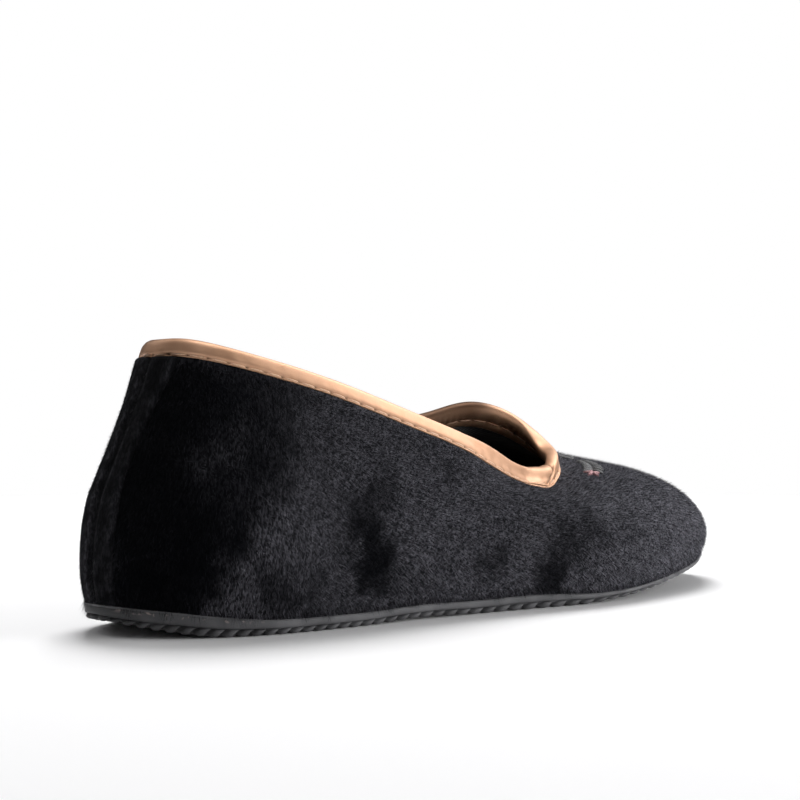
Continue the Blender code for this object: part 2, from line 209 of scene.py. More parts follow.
def closed_spline(knots, period, values, at):
    """A smooth closed curve through values at knots, read at the places at."""
    count = len(knots)
    spans = np.diff(np.append(knots, period))
    system, pull = np.zeros((count, count)), np.zeros_like(values)
    for i in range(count):
        after = (i + 1) % count
        system[i, i - 1] += spans[i - 1]
        system[i, i] += 2 * (spans[i - 1] + spans[i])
        system[i, after] += spans[i]
        pull[i] = 6 * ((values[after] - values[i]) / spans[i] - (values[i] - values[i - 1]) / spans[i - 1])
    bend = np.linalg.solve(system, pull)
    low = np.searchsorted(knots, at, side="right") - 1
    high = (low + 1) % count
    span = spans[low][:, None]
    far = (at - knots[low])[:, None] / span
    near = 1 - far
    return (near * values[low] + far * values[high]
            + ((near**3 - near) * bend[low] + (far**3 - far) * bend[high]) * span**2 / 6)


def unit(vectors):
    return vectors / np.linalg.norm(vectors, axis=-1, keepdims=True)


def faces_of(mesh):
    """A search tree over a mesh's faces, for dropping rays on it."""
    return BVHTree.FromPolygons([v.co for v in mesh.vertices], [tuple(p.vertices) for p in mesh.polygons])


print("spline ready")

# %% The wall
percent = np.array([HALF_BALL_WIDTH, LAST_LENGTH, HALF_BALL_WIDTH, LAST_LENGTH, HEEL_HEIGHT]) / 100
sections = np.array(list(SECTIONS.values()), float)
sections[:, :5] *= percent
sections *= MM
steps = np.linalg.norm(np.roll(sections[:, :2], -1, axis=0) - sections[:, :2], axis=1) ** KNOT_SPREAD
knots = np.append(0, np.cumsum(steps)[:-1])
columns = closed_spline(knots, steps.sum(), sections, np.arange(AROUND) / AROUND * steps.sum())
foot, rim = columns[:, 0:2], columns[:, 2:5].copy()
belly_out, belly_up, top_out, top_up = columns[:, 5:9].T[:, :, None]
heading = np.roll(foot, -1, axis=0) - np.roll(foot, 1, axis=0)
outward = np.pad(unit(np.stack([heading[:, 1], -heading[:, 0]], axis=1)), ((0, 0), (0, 1)))
straight_up = np.array([0.0, 0.0, 1.0])
share = np.linspace(0, 1, UP + 1)[None, :, None]


def wall_from(bottom, rim):
    belly = bottom + outward * belly_out + straight_up * belly_up
    top = rim + outward * top_out + straight_up * top_up
    return ((1 - share)**3 * bottom[:, None] + 3 * share * (1 - share)**2 * belly[:, None]
            + 3 * share**2 * (1 - share) * top[:, None] + share**3 * rim[:, None])


flat_bottom = np.pad(foot, ((0, 0), (0, 1)))
plan = wall_from(flat_bottom, rim)[:, :, :2].reshape(-1, 2)
low_corner, high_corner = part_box("upper")
to_frame = (np.array(low_corner + high_corner)[:2] - plan.min(axis=0) - plan.max(axis=0)) / 2
rim[:, :2] += to_frame
flat_bottom[:, :2] += to_frame
SOLE_INSET = 0.5 * MM
DROP_FROM = 0.1
sole_tree = faces_of(frame["nodes"]["outsole"].data)
for place, out in zip(flat_bottom, outward):
    start = Vector(place - out * SOLE_INSET) + Vector((0, 0, DROP_FROM))
    place[2] = sole_tree.ray_cast(start, Vector((0, 0, -1)))[0].z + GAP * MM
wall = wall_from(flat_bottom, rim)
print(f"sole edge: {flat_bottom[:, 2].min() / MM:.1f} to {flat_bottom[:, 2].max() / MM:.1f} mm high")

# %% The standing collar


def measured_down(wall):
    """Distance of each place below the collar edge, along its section, from the edge down."""
    runs = np.linalg.norm(np.diff(wall[:, ::-1], axis=1), axis=2)
    return np.pad(np.cumsum(runs, axis=1), ((0, 0), (1, 0)))


def smooth_step(value, low, high):
    t = np.clip((value - low) / (high - low), 0, 1)
    return t * t * (3 - 2 * t)


# Round the throat the stiff binding stands up like a low fence, and the vamp starts at its foot.
STAND, STAND_FADE = 5.0 * MM, 24 * MM
STARTS_OUTER, STARTS_INNER, STANDS_AFTER = -14 * MM, -20 * MM, 26 * MM
starts = np.where(rim[:, 0] > to_frame[0], STARTS_OUTER, STARTS_INNER)
standing = STAND * smooth_step(rim[:, 1], starts, starts + STANDS_AFTER)
below_rim = measured_down(wall)
for i in np.flatnonzero(standing > 0.05 * MM):
    down, stand = below_rim[i], standing[i]
    delayed = np.sqrt(down**2 + stand**2) - stand
    delayed *= down[-1] / delayed[-1]
    moved = np.stack([np.interp(delayed, down, wall[i, ::-1, axis]) for axis in range(3)], axis=1)
    moved[:, 2] -= stand * (1 - np.exp(-down / (0.8 * stand))) * np.exp(-(down / STAND_FADE)**2)
    wall[i, ::-1] = moved
wall_round = np.roll(wall, -1, axis=0) - np.roll(wall, 1, axis=0)
wall_normals = unit(np.cross(wall_round, np.gradient(wall, axis=1)))
below_rim = measured_down(wall)
rim_lengths = np.linalg.norm(np.roll(rim, -1, axis=0) - rim, axis=1)
collar_length = rim_lengths.sum()
print(f"wall: {AROUND} sections, collar {collar_length / MM:.0f} mm round")


def down_the_wall(distance):
    """Places and normals on every section, at a distance below the collar edge (one, or one for each)."""
    distance = np.broadcast_to(distance, AROUND)
    places, normals = np.empty((AROUND, 3)), np.empty((AROUND, 3))
    for i in range(AROUND):
        for axis in range(3):
            places[i, axis] = np.interp(distance[i], below_rim[i], wall[i, ::-1, axis])
            normals[i, axis] = np.interp(distance[i], below_rim[i], wall_normals[i, ::-1, axis])
    return places, unit(normals)


# %% [markdown]
# Materials are built from nodes. These small helpers keep the node code readable: one adds a node and sets
# its sockets, the other makes a node group with named sockets, for an effect that several materials share.

# %% Node helpers


def add_node(tree, kind, inputs=None, **settings):
    """A node with its settings, its input sockets set to a value or linked from an output socket."""
    node = tree.nodes.new(kind)
    for name, value in settings.items():
        setattr(node, name, value)
    for key, value in (inputs or {}).items():
        if isinstance(value, bpy.types.NodeSocket):
            tree.links.new(value, node.inputs[key])
        else:
            node.inputs[key].default_value = value
    return node


def new_group(name, inputs, outputs):
    """An empty shader group; inputs and outputs are {socket name: (kind, default)} and {name: kind}."""
    group = bpy.data.node_groups.new(name, "ShaderNodeTree")
    for label, (kind, default) in inputs.items():
        socket = group.interface.new_socket(label, in_out="INPUT", socket_type="NodeSocket" + kind)
        socket.default_value = default
    for label, kind in outputs.items():
        group.interface.new_socket(label, in_out="OUTPUT", socket_type="NodeSocket" + kind)
    return group, group.nodes.new("NodeGroupInput").outputs, group.nodes.new("NodeGroupOutput").inputs


def place_group(tree, group, inputs):
    return add_node(tree, "ShaderNodeGroup", inputs, node_tree=group).outputs


def arithmetic(tree, operation, *values, clamp=False):
    node = add_node(tree, "ShaderNodeMath", dict(enumerate(values)), operation=operation, use_clamp=clamp)
    return node.outputs[0]


def ramp_between(tree, value, low, high, to_low=0.0, to_high=1.0):
    """Value from low to high, smoothly turned into to_low to to_high."""
    inputs = {"Value": value, "From Min": low, "From Max": high, "To Min": to_low, "To Max": to_high}
    return add_node(tree, "ShaderNodeMapRange", inputs, interpolation_type="SMOOTHSTEP").outputs["Result"]


def blend_colours(tree, factor, first, second):
    return add_node(tree, "ShaderNodeMix", {0: factor, 6: first, 7: second}, data_type="RGBA").outputs[2]


def noise(tree, place, scale, **sockets):
    return add_node(tree, "ShaderNodeTexNoise", {"Vector": place, "Scale": scale, **sockets})


def mark_on(tree, name):
    """A number that the mesh carries at each of its points."""
    return add_node(tree, "ShaderNodeAttribute", attribute_name=name).outputs["Fac"]


def feed(tree, shader, **sockets):
    """Links outputs to the shader's sockets, whose names have _ for a space."""
    for label, output in sockets.items():
        tree.links.new(output, shader.inputs[label.replace("_", " ")])


def raise_bumps(tree, shader, height, strength, distance):
    """A bump from height, at most distance mm high."""
    inputs = {"Height": height, "Strength": strength, "Distance": distance * MM}
    feed(tree, shader, Normal=add_node(tree, "ShaderNodeBump", inputs).outputs[0])


def new_material(name, **sockets):
    """A material whose Principled shader has its plain sockets set; with it its tree, shader and places."""
    material = bpy.data.materials.new(name)
    material.use_nodes = True
    shader = material.node_tree.nodes["Principled BSDF"]
    for label, value in sockets.items():
        shader.inputs[label.replace("_", " ")].default_value = value
    places = add_node(material.node_tree, "ShaderNodeTexCoord").outputs["Object"]
    return material, material.node_tree, shader, places


print("node helpers ready")

# %% [markdown]
# Velour is a short dense pile. Where it was brushed towards the light it looks grey, and where it was
# brushed away it looks black, so its colour is mostly a map of which way the pile leans. Two things carry
# that here: a group that draws short strokes along a direction, and listed patches of brushed pile.

# %% Pile strokes
strokes, given, gives = new_group(
    "pile strokes",
    {"Place": ("Vector", (0, 0, 0)), "Lean": ("Vector", (0, 0, 0)), "Strokes per metre": ("Float", 900.0),
     "Length": ("Float", 3.0)},
    {"Stroke": "Float", "Tuft": "Float"},
)
turned = add_node(strokes, "ShaderNodeMapping", {"Vector": given["Place"], "Rotation": given["Lean"]})
shorter = arithmetic(strokes, "DIVIDE", 1.0, given["Length"])
squeeze = add_node(strokes, "ShaderNodeCombineXYZ", {"X": 1.0, "Y": 1.0, "Z": shorter})
drawn = add_node(strokes, "ShaderNodeVectorMath", {0: turned.outputs[0], 1: squeeze.outputs[0]},
                 operation="MULTIPLY")
fine = noise(strokes, drawn.outputs[0], given["Strokes per metre"], Detail=2.0, Roughness=0.6)
coarser = arithmetic(strokes, "MULTIPLY", given["Strokes per metre"], 0.3)
tufts = noise(strokes, drawn.outputs[0], coarser, Detail=2.0, Roughness=0.55)
strokes.links.new(ramp_between(strokes, fine.outputs["Fac"], 0.40, 0.62), gives["Stroke"])
strokes.links.new(ramp_between(strokes, tufts.outputs["Fac"], 0.34, 0.66), gives["Tuft"])
print("group:", strokes.name)

# %% [markdown]
# The patches lie where the photograph shows darker or lighter pile: a black heel, one large dark brush mark
# on the side, smaller ones along the sole. The black of the heel is partly brushed pile and partly painted
# shade, where the heel turns away from the light, and the pile is painted lighter towards the toe, as painted
# light. Each patch is a soft ball in space: place, radius and how much of the grey it takes away, or adds
# below zero. Slow noise bends the distances, so the patches end raggedly, as pile does. Strokes run upright
# at the heel and slant on the side. All this is one group, because the ground of the velour and its standing
# fibres use it both.

# %% Brushed pile
SWIRL = 26 * MM
FULL_WITHIN, GONE_BY = 0.4, 1.25
# centre in mm, radius in mm, how dark
PILE_PATCHES = [
    ((36.4, -54.0, 21.0), 10.0, 0.93),
    ((36.0, -52.0, 14.0), 7.5, 0.70),
    ((35.6, -55.0, 30.0), 8.5, 0.60),
    ((33.9, -48.0, 38.0), 7.0, 0.40),
    ((36.0, -43.5, 12.0), 7.0, 0.45),
    ((34.8, -76.0, 11.0), 6.0, 0.40),
    ((33.5, -84.5, 11.5), 7.0, 0.65),
    ((39.3, 11.5, 10.5), 8.5, 0.80),
    ((37.5, -10.0, 15.0), 7.0, 0.60),
    ((38.8, 29.5, 24.0), 8.0, 0.50),
    ((40.2, 17.0, 18.0), 9.0, 0.58),
    ((38.4, 47.5, 20.5), 7.0, 0.30),
    ((33.0, -19.5, 37.0), 3.2, 0.55),
    # the heel: brushed dark pile, and painted shade where the heel turns away from the light
    ((14.0, -115.0, 34.0), 27.0, 0.96),
    ((20.0, -102.0, 60.0), 20.0, 0.92),
    ((27.0, -82.0, 66.0), 16.0, 0.72),
    ((23.0, -101.0, 46.0), 9.0, -1.2),
    ((14.0, -116.0, 10.0), 13.0, 0.93),
    ((22.0, -108.0, 16.0), 10.0, 0.88),
    ((27.0, -101.0, 25.0), 11.0, 0.90),
    ((29.0, -92.0, 38.0), 13.0, 0.82),
    ((29.0, -84.0, 50.0), 10.0, 0.65),
    ((-24.0, -104.0, 40.0), 34.0, 0.85),
    ((-34.0, -30.0, 22.0), 14.0, 0.60),
    ((-40.0, 40.0, 18.0), 15.0, 0.50),
]
brushed, given, gives = new_group("brushed pile", {"Place": ("Vector", (0, 0, 0))},
                                  {"Lit": "Float", "Stroke": "Float", "Tuft": "Float"})
place = given["Place"]
along = add_node(brushed, "ShaderNodeSeparateXYZ", {0: place}).outputs["Y"]
upright, slanted = (
    place_group(brushed, strokes, {"Place": place, "Lean": (lean, 0.0, 0.0), "Strokes per metre": 1700.0,
                                   "Length": length})
    for lean, length in ((0.15, 2.6), (0.9, 1.9)))
from_heel = ramp_between(brushed, along, -90 * MM, -55 * MM)
for label in ("Stroke", "Tuft"):
    mixed = add_node(brushed, "ShaderNodeMix", {0: from_heel, 2: upright[label], 3: slanted[label]})
    brushed.links.new(mixed.outputs[0], gives[label])
drift = noise(brushed, place, 70.0, Detail=4.0, Roughness=0.65)
swirl = add_node(brushed, "ShaderNodeVectorMath", {0: drift.outputs["Color"], 1: (0.5, 0.5, 0.5)},
                 operation="SUBTRACT")
bent = add_node(brushed, "ShaderNodeVectorMath", {0: swirl.outputs[0], 1: (SWIRL, SWIRL, SWIRL), 2: place},
                operation="MULTIPLY_ADD").outputs[0]
lit = noise(brushed, place, 26.0, Detail=3.0).outputs["Fac"]
lit = ramp_between(brushed, lit, 0.3, 0.7, 0.72, 1.0)
# painted light: the pile is painted lighter towards the toe, where the light falls
painted_light_to_toe = ramp_between(brushed, along, -80 * MM, 110 * MM, 0.60, 0.92)
lit = arithmetic(brushed, "MULTIPLY", lit, painted_light_to_toe)
for centre, radius, darkness in PILE_PATCHES:
    middle = [c * MM for c in centre]
    reach = add_node(brushed, "ShaderNodeVectorMath", {0: bent, 1: middle}, operation="DISTANCE")
    kept = ramp_between(brushed, reach.outputs["Value"], FULL_WITHIN * radius * MM, GONE_BY * radius * MM,
                        1 - darkness, 1.0)
    lit = arithmetic(brushed, "MULTIPLY", lit, kept)
brushed.links.new(lit, gives["Lit"])
print("group:", brushed.name, "with", len(PILE_PATCHES), "patches")

# %% [markdown]
# The ground of the velour is the material of the shell itself. Its fine strokes darken and lighten the pile,
# and the same strokes lift the surface a little in the bump.

# %% Velour
PILE_BLACK = (0.0009, 0.0012, 0.0018, 1)
PILE_GREY = (0.103, 0.1010, 0.1160, 1)
velour, tree, shader, place = new_material(
    "black velour", Roughness=0.95, Sheen_Weight=0.06, Sheen_Roughness=0.45, Sheen_Tint=(0.75, 0.78, 0.9, 1),
    Specular_IOR_Level=0.02)
pile = place_group(tree, brushed, {"Place": place})
grain = arithmetic(tree, "MULTIPLY_ADD", pile["Stroke"], 0.95, 0.15)
clumps = arithmetic(tree, "MULTIPLY_ADD", pile["Tuft"], 0.3, 0.82)
lit = arithmetic(tree, "MULTIPLY", arithmetic(tree, "MULTIPLY", pile["Lit"], grain), clumps)
feed(tree, shader, Base_Color=blend_colours(tree, lit, PILE_BLACK, PILE_GREY))
relief = arithmetic(tree, "MULTIPLY_ADD", pile["Tuft"], 0.6, pile["Stroke"])
raise_bumps(tree, shader, relief, 0.55, 0.2)
print("material:", velour.name)

# %% [markdown]
# Each standing fibre has its own shade, kept in an attribute of its mesh, so that some catch the light and
# others sink into the pile.

# %% Fibres
FIBRE_BLACK = (0.0014, 0.0018, 0.0027, 1)
FIBRE_GREY = (0.480, 0.4700, 0.5370, 1)
fibre, tree, shader, place = new_material("velour fibres", Roughness=0.8, Specular_IOR_Level=0.03)
pile = place_group(tree, brushed, {"Place": place})
shade = mark_on(tree, "shade")
tuft = arithmetic(tree, "MULTIPLY_ADD", pile["Tuft"], 0.5, 0.6)
never_black = arithmetic(tree, "ADD", pile["Lit"], 0.006)
lit = arithmetic(tree, "MULTIPLY", arithmetic(tree, "MULTIPLY", never_black, tuft), shade)
feed(tree, shader, Base_Color=blend_colours(tree, lit, FIBRE_BLACK, FIBRE_GREY))
print("material:", fibre.name)


def strip_finish(name, black, grey, brightness):
    """The strip over the heel seam is brushed up and painted lighter, as painted light, so it is evenly grey
    where the heel beside it is black.
    """
    material, tree, shader, place = new_material(name, Roughness=0.9, Specular_IOR_Level=0.08)
    pile = place_group(tree, brushed, {"Place": place})
    even = arithmetic(tree, "MULTIPLY_ADD", pile["Tuft"], brightness, 0.3 * brightness)
    lit = arithmetic(tree, "MULTIPLY", even, arithmetic(tree, "MULTIPLY_ADD", pile["Stroke"], 0.8, 0.4))
    # the ridge mark carries painted highlights and painted shade
    ridge = mark_on(tree, "ridge")
    lit = arithmetic(tree, "MULTIPLY", lit, ridge)
    feed(tree, shader, Base_Color=blend_colours(tree, lit, black, grey))
    return material


strip_velour = strip_finish("strip velour", PILE_BLACK, PILE_GREY, 0.16)
strip_fibre = strip_finish("strip fibres", FIBRE_BLACK, FIBRE_GREY, 0.06)
print("materials:", strip_velour.name, strip_fibre.name)

# %% [markdown]
# Lining and sock are plain black cloth with a fine weave: two sets of waves at right angles, each lifting
# where the other dips. A weave this fine only has to break up the light, so it goes into bump and colour.

# %% Woven cloth
weave, given, gives = new_group(
    "fine weave", {"Place": ("Vector", (0, 0, 0)), "Threads per metre": ("Float", 1600.0)},
    {"Height": "Float"})
bands = []
for direction in ("Y", "Z"):
    inputs = {"Vector": given["Place"], "Scale": given["Threads per metre"], "Distortion": 0.6, "Detail": 1.0}
    wave = add_node(weave, "ShaderNodeTexWave", inputs, wave_type="BANDS", bands_direction=direction)
    bands.append(wave.outputs["Fac"])
weave.links.new(arithmetic(weave, "MULTIPLY", *bands), gives["Height"])


def woven(name, dark, light, threads):
    cloth, tree, shader, place = new_material(name, Roughness=0.9, Sheen_Weight=0.15, Specular_IOR_Level=0.2)
    height = place_group(tree, weave, {"Place": place, "Threads per metre": threads})["Height"]
    darkening = noise(tree, place, 70.0, Detail=4.0).outputs["Fac"]
    mixed = arithmetic(tree, "MULTIPLY", height, ramp_between(tree, darkening, 0.3, 0.7, 0.5, 1.0))
    feed(tree, shader, Base_Color=blend_colours(tree, mixed, dark, light))
    raise_bumps(tree, shader, height, 0.4, 0.15)
    return cloth


lining_cloth = woven("black lining", (0.002, 0.002, 0.002, 1), (0.007, 0.007, 0.007, 1), 260.0)
sock_cloth = woven("black sock cloth", (0.006, 0.006, 0.006, 1), (0.022, 0.022, 0.023, 1), 200.0)
print("materials:", lining_cloth.name, "and", sock_cloth.name)

# %% [markdown]
# The binding is a soft leatherette with a copper metal film. Metal shows its surroundings, so it turns
# salmon where it sees the white room. Inside the collar, and a little at the heel, its colour is painted dark
# brown instead, a painted shade and reflection, and there it is less metallic with a thinner coat. A clear
# coat over the film makes its lit places paler. Grain changes its gloss a little.

# %% Grain and copper film
grain_group, given, gives = new_group(
    "fine grain", {"Place": ("Vector", (0, 0, 0)), "Scale": ("Float", 1500.0)},
    {"Cells": "Float", "Cloud": "Float"})
cells = add_node(grain_group, "ShaderNodeTexVoronoi", {"Vector": given["Place"], "Scale": given["Scale"]})
tenth = arithmetic(grain_group, "MULTIPLY", given["Scale"], 0.1)
cloud = noise(grain_group, given["Place"], tenth, Detail=4.0)
grain_group.links.new(cells.outputs["Distance"], gives["Cells"])
grain_group.links.new(ramp_between(grain_group, cloud.outputs["Fac"], 0.3, 0.7), gives["Cloud"])

COPPER_DEEP = (0.57, 0.325, 0.195, 1)
COPPER_PALE = (0.67, 0.41, 0.265, 1)
SHADE_BROWN = (0.070, 0.034, 0.019, 1)
copper, tree, shader, place = new_material("copper leatherette", Coat_Roughness=0.42, Specular_IOR_Level=0.15)
grained = place_group(tree, grain_group, {"Place": place, "Scale": 1800.0})
tone = blend_colours(tree, grained["Cloud"], COPPER_DEEP, COPPER_PALE)
# painted shade and reflection: where the mesh is marked, the film is painted dark brown, less metallic, less
# coat
shaded = mark_on(tree, "shaded")
tone = blend_colours(tree, shaded, tone, SHADE_BROWN)
feed(tree, shader, Base_Color=tone)
feed(tree, shader, Metallic=arithmetic(tree, "MULTIPLY_ADD", shaded, -0.4, 1.0))
feed(tree, shader, Coat_Weight=arithmetic(tree, "MULTIPLY_ADD", shaded, -0.4, 0.4))
gloss = arithmetic(tree, "MULTIPLY_ADD", grained["Cloud"], 0.14, 0.48)
feed(tree, shader, Roughness=gloss)
raise_bumps(tree, shader, grained["Cells"], 0.18, 0.1)
print("material:", copper.name)

# %% [markdown]
# The sewing thread is a twisted copper yarn. Its strands could be modelled, but their twist is finer than a
# pixel, so small light and dark cells stand for it. The row inside lies in shade and takes a darker thread.

# %% Thread


def twisted_thread(name, light, dark):
    material, tree, shader, place = new_material(name, Roughness=0.5, Sheen_Weight=0.2)
    twist = place_group(tree, grain_group, {"Place": place, "Scale": 3500.0})
    feed(tree, shader, Base_Color=blend_colours(tree, twist["Cells"], light, dark))
    return material


thread = twisted_thread("copper thread", (0.82, 0.57, 0.38, 1), (0.50, 0.28, 0.16, 1))
inner_thread = twisted_thread("shaded thread", (0.30, 0.17, 0.10, 1), (0.14, 0.07, 0.04, 1))
print("materials:", thread.name, "and", inner_thread.name)

# %% [markdown]
# The sole is moulded rubber: matt, a little mottled, with flecks of old glue where the upper was stuck on.
# The mottle is noise in the material. Its grooves, its underside and the back of its heel are painted darker,
# as painted shade. Shade and glue follow the shape of the sole, so they are marks on its mesh that the
# material reads.

# %% Rubber
RUBBER_GREY = (0.115, 0.115, 0.121, 1)
RUBBER_DARK = (0.068, 0.068, 0.072, 1)
GROOVE_SHADE = (0.008, 0.008, 0.008, 1)
GLUE = (0.30, 0.25, 0.24, 1)
rubber, tree, shader, place = new_material("dark grey rubber", Specular_IOR_Level=0.35)
mottled = place_group(tree, grain_group, {"Place": place, "Scale": 1100.0})
tone = blend_colours(tree, mottled["Cloud"], RUBBER_DARK, RUBBER_GREY)
# painted shade: grooves, underside and the back of the heel are painted near black where the mesh is marked
shaded = mark_on(tree, "shaded")
tone = blend_colours(tree, shaded, tone, GROOVE_SHADE)
glue = mark_on(tree, "glue")
flecks = noise(tree, place, 700.0, Detail=3.0).outputs["Fac"]
glue = arithmetic(tree, "MULTIPLY", glue, ramp_between(tree, flecks, 0.56, 0.66))
feed(tree, shader, Base_Color=blend_colours(tree, glue, tone, GLUE))
feed(tree, shader, Roughness=arithmetic(tree, "MULTIPLY_ADD", mottled["Cloud"], 0.15, 0.5))
raise_bumps(tree, shader, mottled["Cells"], 0.15, 0.1)
print("material:", rubber.name)

# %% [markdown]
# A sewn shell starts as flat cloth. In Blender that is a grid: it is added as a primitive, its points are
# moved onto the wall, the two ends are welded at the heel, and Solidify gives it the thickness of velour
# and lining. One helper does this for every piece that is laid round the last.

# %% Laying a grid


def laid_grid(name, places, **marks):
    """A grid primitive moved to places [columns, rows, 3], welded where they meet; marks are attributes."""
    columns, rows = places.shape[:2]
    start_fresh()
    bpy.ops.mesh.primitive_grid_add(x_subdivisions=columns - 1, y_subdivisions=rows - 1, size=1)
    piece = bpy.context.object
    piece.name = piece.data.name = name
    points = np.empty(len(piece.data.vertices) * 3)
    piece.data.vertices.foreach_get("co", points)
    points = points.reshape(-1, 3)
    column = np.rint((points[:, 0] + 0.5) * (columns - 1)).astype(int)
    row = np.rint((points[:, 1] + 0.5) * (rows - 1)).astype(int)
    piece.data.vertices.foreach_set("co", places[column, row].ravel())
    for label, values in marks.items():
        mark = piece.data.attributes.new(label, "FLOAT", "POINT")
        mark.data.foreach_set("value", values[column, row])
    bpy.ops.object.mode_set(mode="EDIT")
    bpy.ops.mesh.select_all(action="SELECT")
    bpy.ops.mesh.remove_doubles(threshold=1e-6)
    bpy.ops.object.mode_set(mode="OBJECT")
    bpy.ops.object.shade_smooth()
    return piece


def apply_modifier(piece, kind, **settings):
    """Adds a modifier with its settings and applies it, as the Apply button does."""
    start_fresh()
    piece.select_set(True)
    bpy.context.view_layer.objects.active = piece
    modifier = piece.modifiers.new(kind.title(), kind)
    for name, value in settings.items():
        setattr(modifier, name, value)
    bpy.ops.object.modifier_apply(modifier=modifier.name)


triangles_of = {}


def finish_piece(piece, node=None):
    """The piece rides on the slipper's one body and stands in for a CAD node, which is hidden; its triangles
    are counted.
    """
    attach(piece, "root")
    if node:
        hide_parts(node)
    triangles = sum(len(face.vertices) - 2 for face in piece.data.polygons)
    triangles_of[piece.name] = triangles
    print(f"piece: {piece.name}, {triangles} triangles")


def round_again(places):
    """Repeats the first column at the end, so that a grid closes round the shoe."""
    return np.concatenate([places, places[:1]])


print("mesh helpers ready")


# %% [markdown]
# The upper is never as even as its last. Dents are pressed in where the pile is brushed dark, shallow folds
# run out from the front of the throat, and the cloth gathers a little under the row of stitches.

# %% Upper
UPPER_EVERY, ROWS_EVERY = 4, 2
WALL_THICKNESS = 2.2 * MM
THIN_SHARE, THICKENS = 0.6, (5 * MM, 14 * MM)
DENTS = [
    # centre in mm, radius in mm, depth in mm
    ((36.4, -53.0, 22.0), 12, 0.5),
    ((33.5, -86.0, 14.0), 9, 0.3),
    ((39.5, 24.0, 14.0), 12, 0.4),
    ((39.2, 42.0, 22.0), 10, 0.35),
    ((31.7, -18.0, 40.0), 6, 0.25),
    ((-36.0, -20.0, 24.0), 14, 0.5),
    ((-41.0, 45.0, 18.0), 13, 0.4),
]
FOLDS = [
    # from, to in mm, half width in mm, depth in mm
    ((22.0, 40.0, 37.0), (36.0, 52.0, 24.0), 3.5, 0.45),
    ((16.0, 50.0, 39.0), (24.0, 72.0, 31.0), 3.0, 0.35),
    ((-14.0, 52.0, 46.0), (-22.0, 74.0, 37.0), 3.5, 0.45),
    ((28.0, 20.0, 36.0), (39.0, 22.0, 22.0), 4.0, 0.35),
]
GATHER_PITCH, GATHER_DEPTH, GATHER_REACH = 5.2 * MM, 0.12 * MM, 5.0 * MM


def nearest_among(places):
    """A search tree that finds the nearest of places."""
    tree = KDTree(len(places))
    for i, place in enumerate(places):
        tree.insert(place, i)
    tree.balance()
    return tree


def pressed_in(places):
    """How far the listed dents and folds press each place in."""
    depth = np.zeros(places.shape[:-1])
    for centre, radius, deep in DENTS:
        off = np.linalg.norm(places - np.array(centre) * MM, axis=-1) / (radius * MM)
        depth += deep * MM * np.exp(-2 * off**2)
    for start, end, half_width, deep in FOLDS:
        start, end = np.array(start) * MM, np.array(end) * MM
        along = np.clip((places - start) @ (end - start) / ((end - start) @ (end - start)), 0, 1)
        off = np.linalg.norm(places - start - along[..., None] * (end - start), axis=-1) / (half_width * MM)
        depth += deep * MM * np.exp(-off**2) * np.sin(np.pi * (0.15 + 0.7 * along))
    return depth


run_round = np.append(0, np.cumsum(rim_lengths)[:-1])
gathers = np.cos(2 * np.pi * run_round / collar_length * round(collar_length / GATHER_PITCH))
near_collar = np.exp(-below_rim[:, ::-1] / GATHER_REACH)
press = pressed_in(wall) + GATHER_DEPTH * gathers[:, None] * near_collar
soft_wall = wall - wall_normals * press[:, :, None]
upper = laid_grid("velour_upper", round_again(soft_wall[::UPPER_EVERY, ::ROWS_EVERY]))
full_thickness = upper.vertex_groups.new(name="full thickness")
rim_tree = nearest_among(rim)
for vertex in upper.data.vertices:
    from_rim = rim_tree.find(vertex.co)[2]
    full_thickness.add([vertex.index], float(smooth_step(from_rim, *THICKENS)), "REPLACE")
upper.data.materials.append(velour)
upper.data.materials.append(lining_cloth)
apply_modifier(upper, "SOLIDIFY", thickness=WALL_THICKNESS, offset=-1, material_offset=1,
               material_offset_rim=0, vertex_group=full_thickness.name, thickness_vertex_group=THIN_SHARE)
finish_piece(upper, "upper")

# %% [markdown]
# The binding is a strip folded over the collar edge. Its section is drawn once: down the outside it swells,
# dips where the thread pulls it in and ends in a thin lip; over the edge it is a round roll; inside it runs
# a little deeper. That section is laid on every place round the collar, and the dips deepen at each stitch.

# %% Collar binding: its section
# along the shoe in mm, and how far the strip reaches down outside, in mm
LEG_AT = [(-110, 3.6), (-60, 3.5), (-20, 3.9), (0, 5.4), (30, 6.0), (36, 4.4), (42, 3.4), (52, 3.6)]
STITCH_SHARE = 0.85
STITCH_PITCH = 5.2 * MM
# a second lip under the first, where the strip's ends overlap: beyond the leg in mm, and off the wall in mm
UNDER_LIP = [(0.50, 0.00), (0.62, 0.15), (0.60, 0.34), (0.42, 0.42), (0.20, 0.36)]
# down the leg as a share of its length, and how far off the wall in mm, from the lip up to the collar edge
OUTSIDE = [(0.985, 0.10), (1.00, 0.26), (0.985, 0.42), (0.95, 0.50), (0.91, 0.42), (0.85, 0.30), (0.80, 0.44),
           (0.74, 0.68), (0.65, 0.86), (0.54, 0.95), (0.40, 1.00), (0.25, 1.04), (0.12, 1.06), (0.03, 1.04)]
# the same inside, from the collar edge down to the lip
INSIDE = [(0.04, 1.10), (0.14, 1.10), (0.26, 1.02), (0.38, 0.82), (0.46, 0.52), (0.52, 0.32), (0.58, 0.50),
          (0.68, 0.66), (0.80, 0.66), (0.92, 0.55), (1.00, 0.32), (0.98, 0.05)]
INSIDE_LEG, INSIDE_STITCH_SHARE = 6.0 * MM, 0.52
# the roll over the edge: degrees from the outside, and how far from the middle of the edge, in mm
ROLL = [(14, 1.86), (30, 1.82), (48, 1.74), (68, 1.66), (90, 1.64), (110, 1.70), (130, 1.80), (150, 1.88),
        (166, 1.90)]
COLLAR_WALL = 1.6 * MM
HOLE_DEEP, HOLE_LONG, HOLE_HIGH = 0.28 * MM, 0.9 * MM, 0.35 * MM


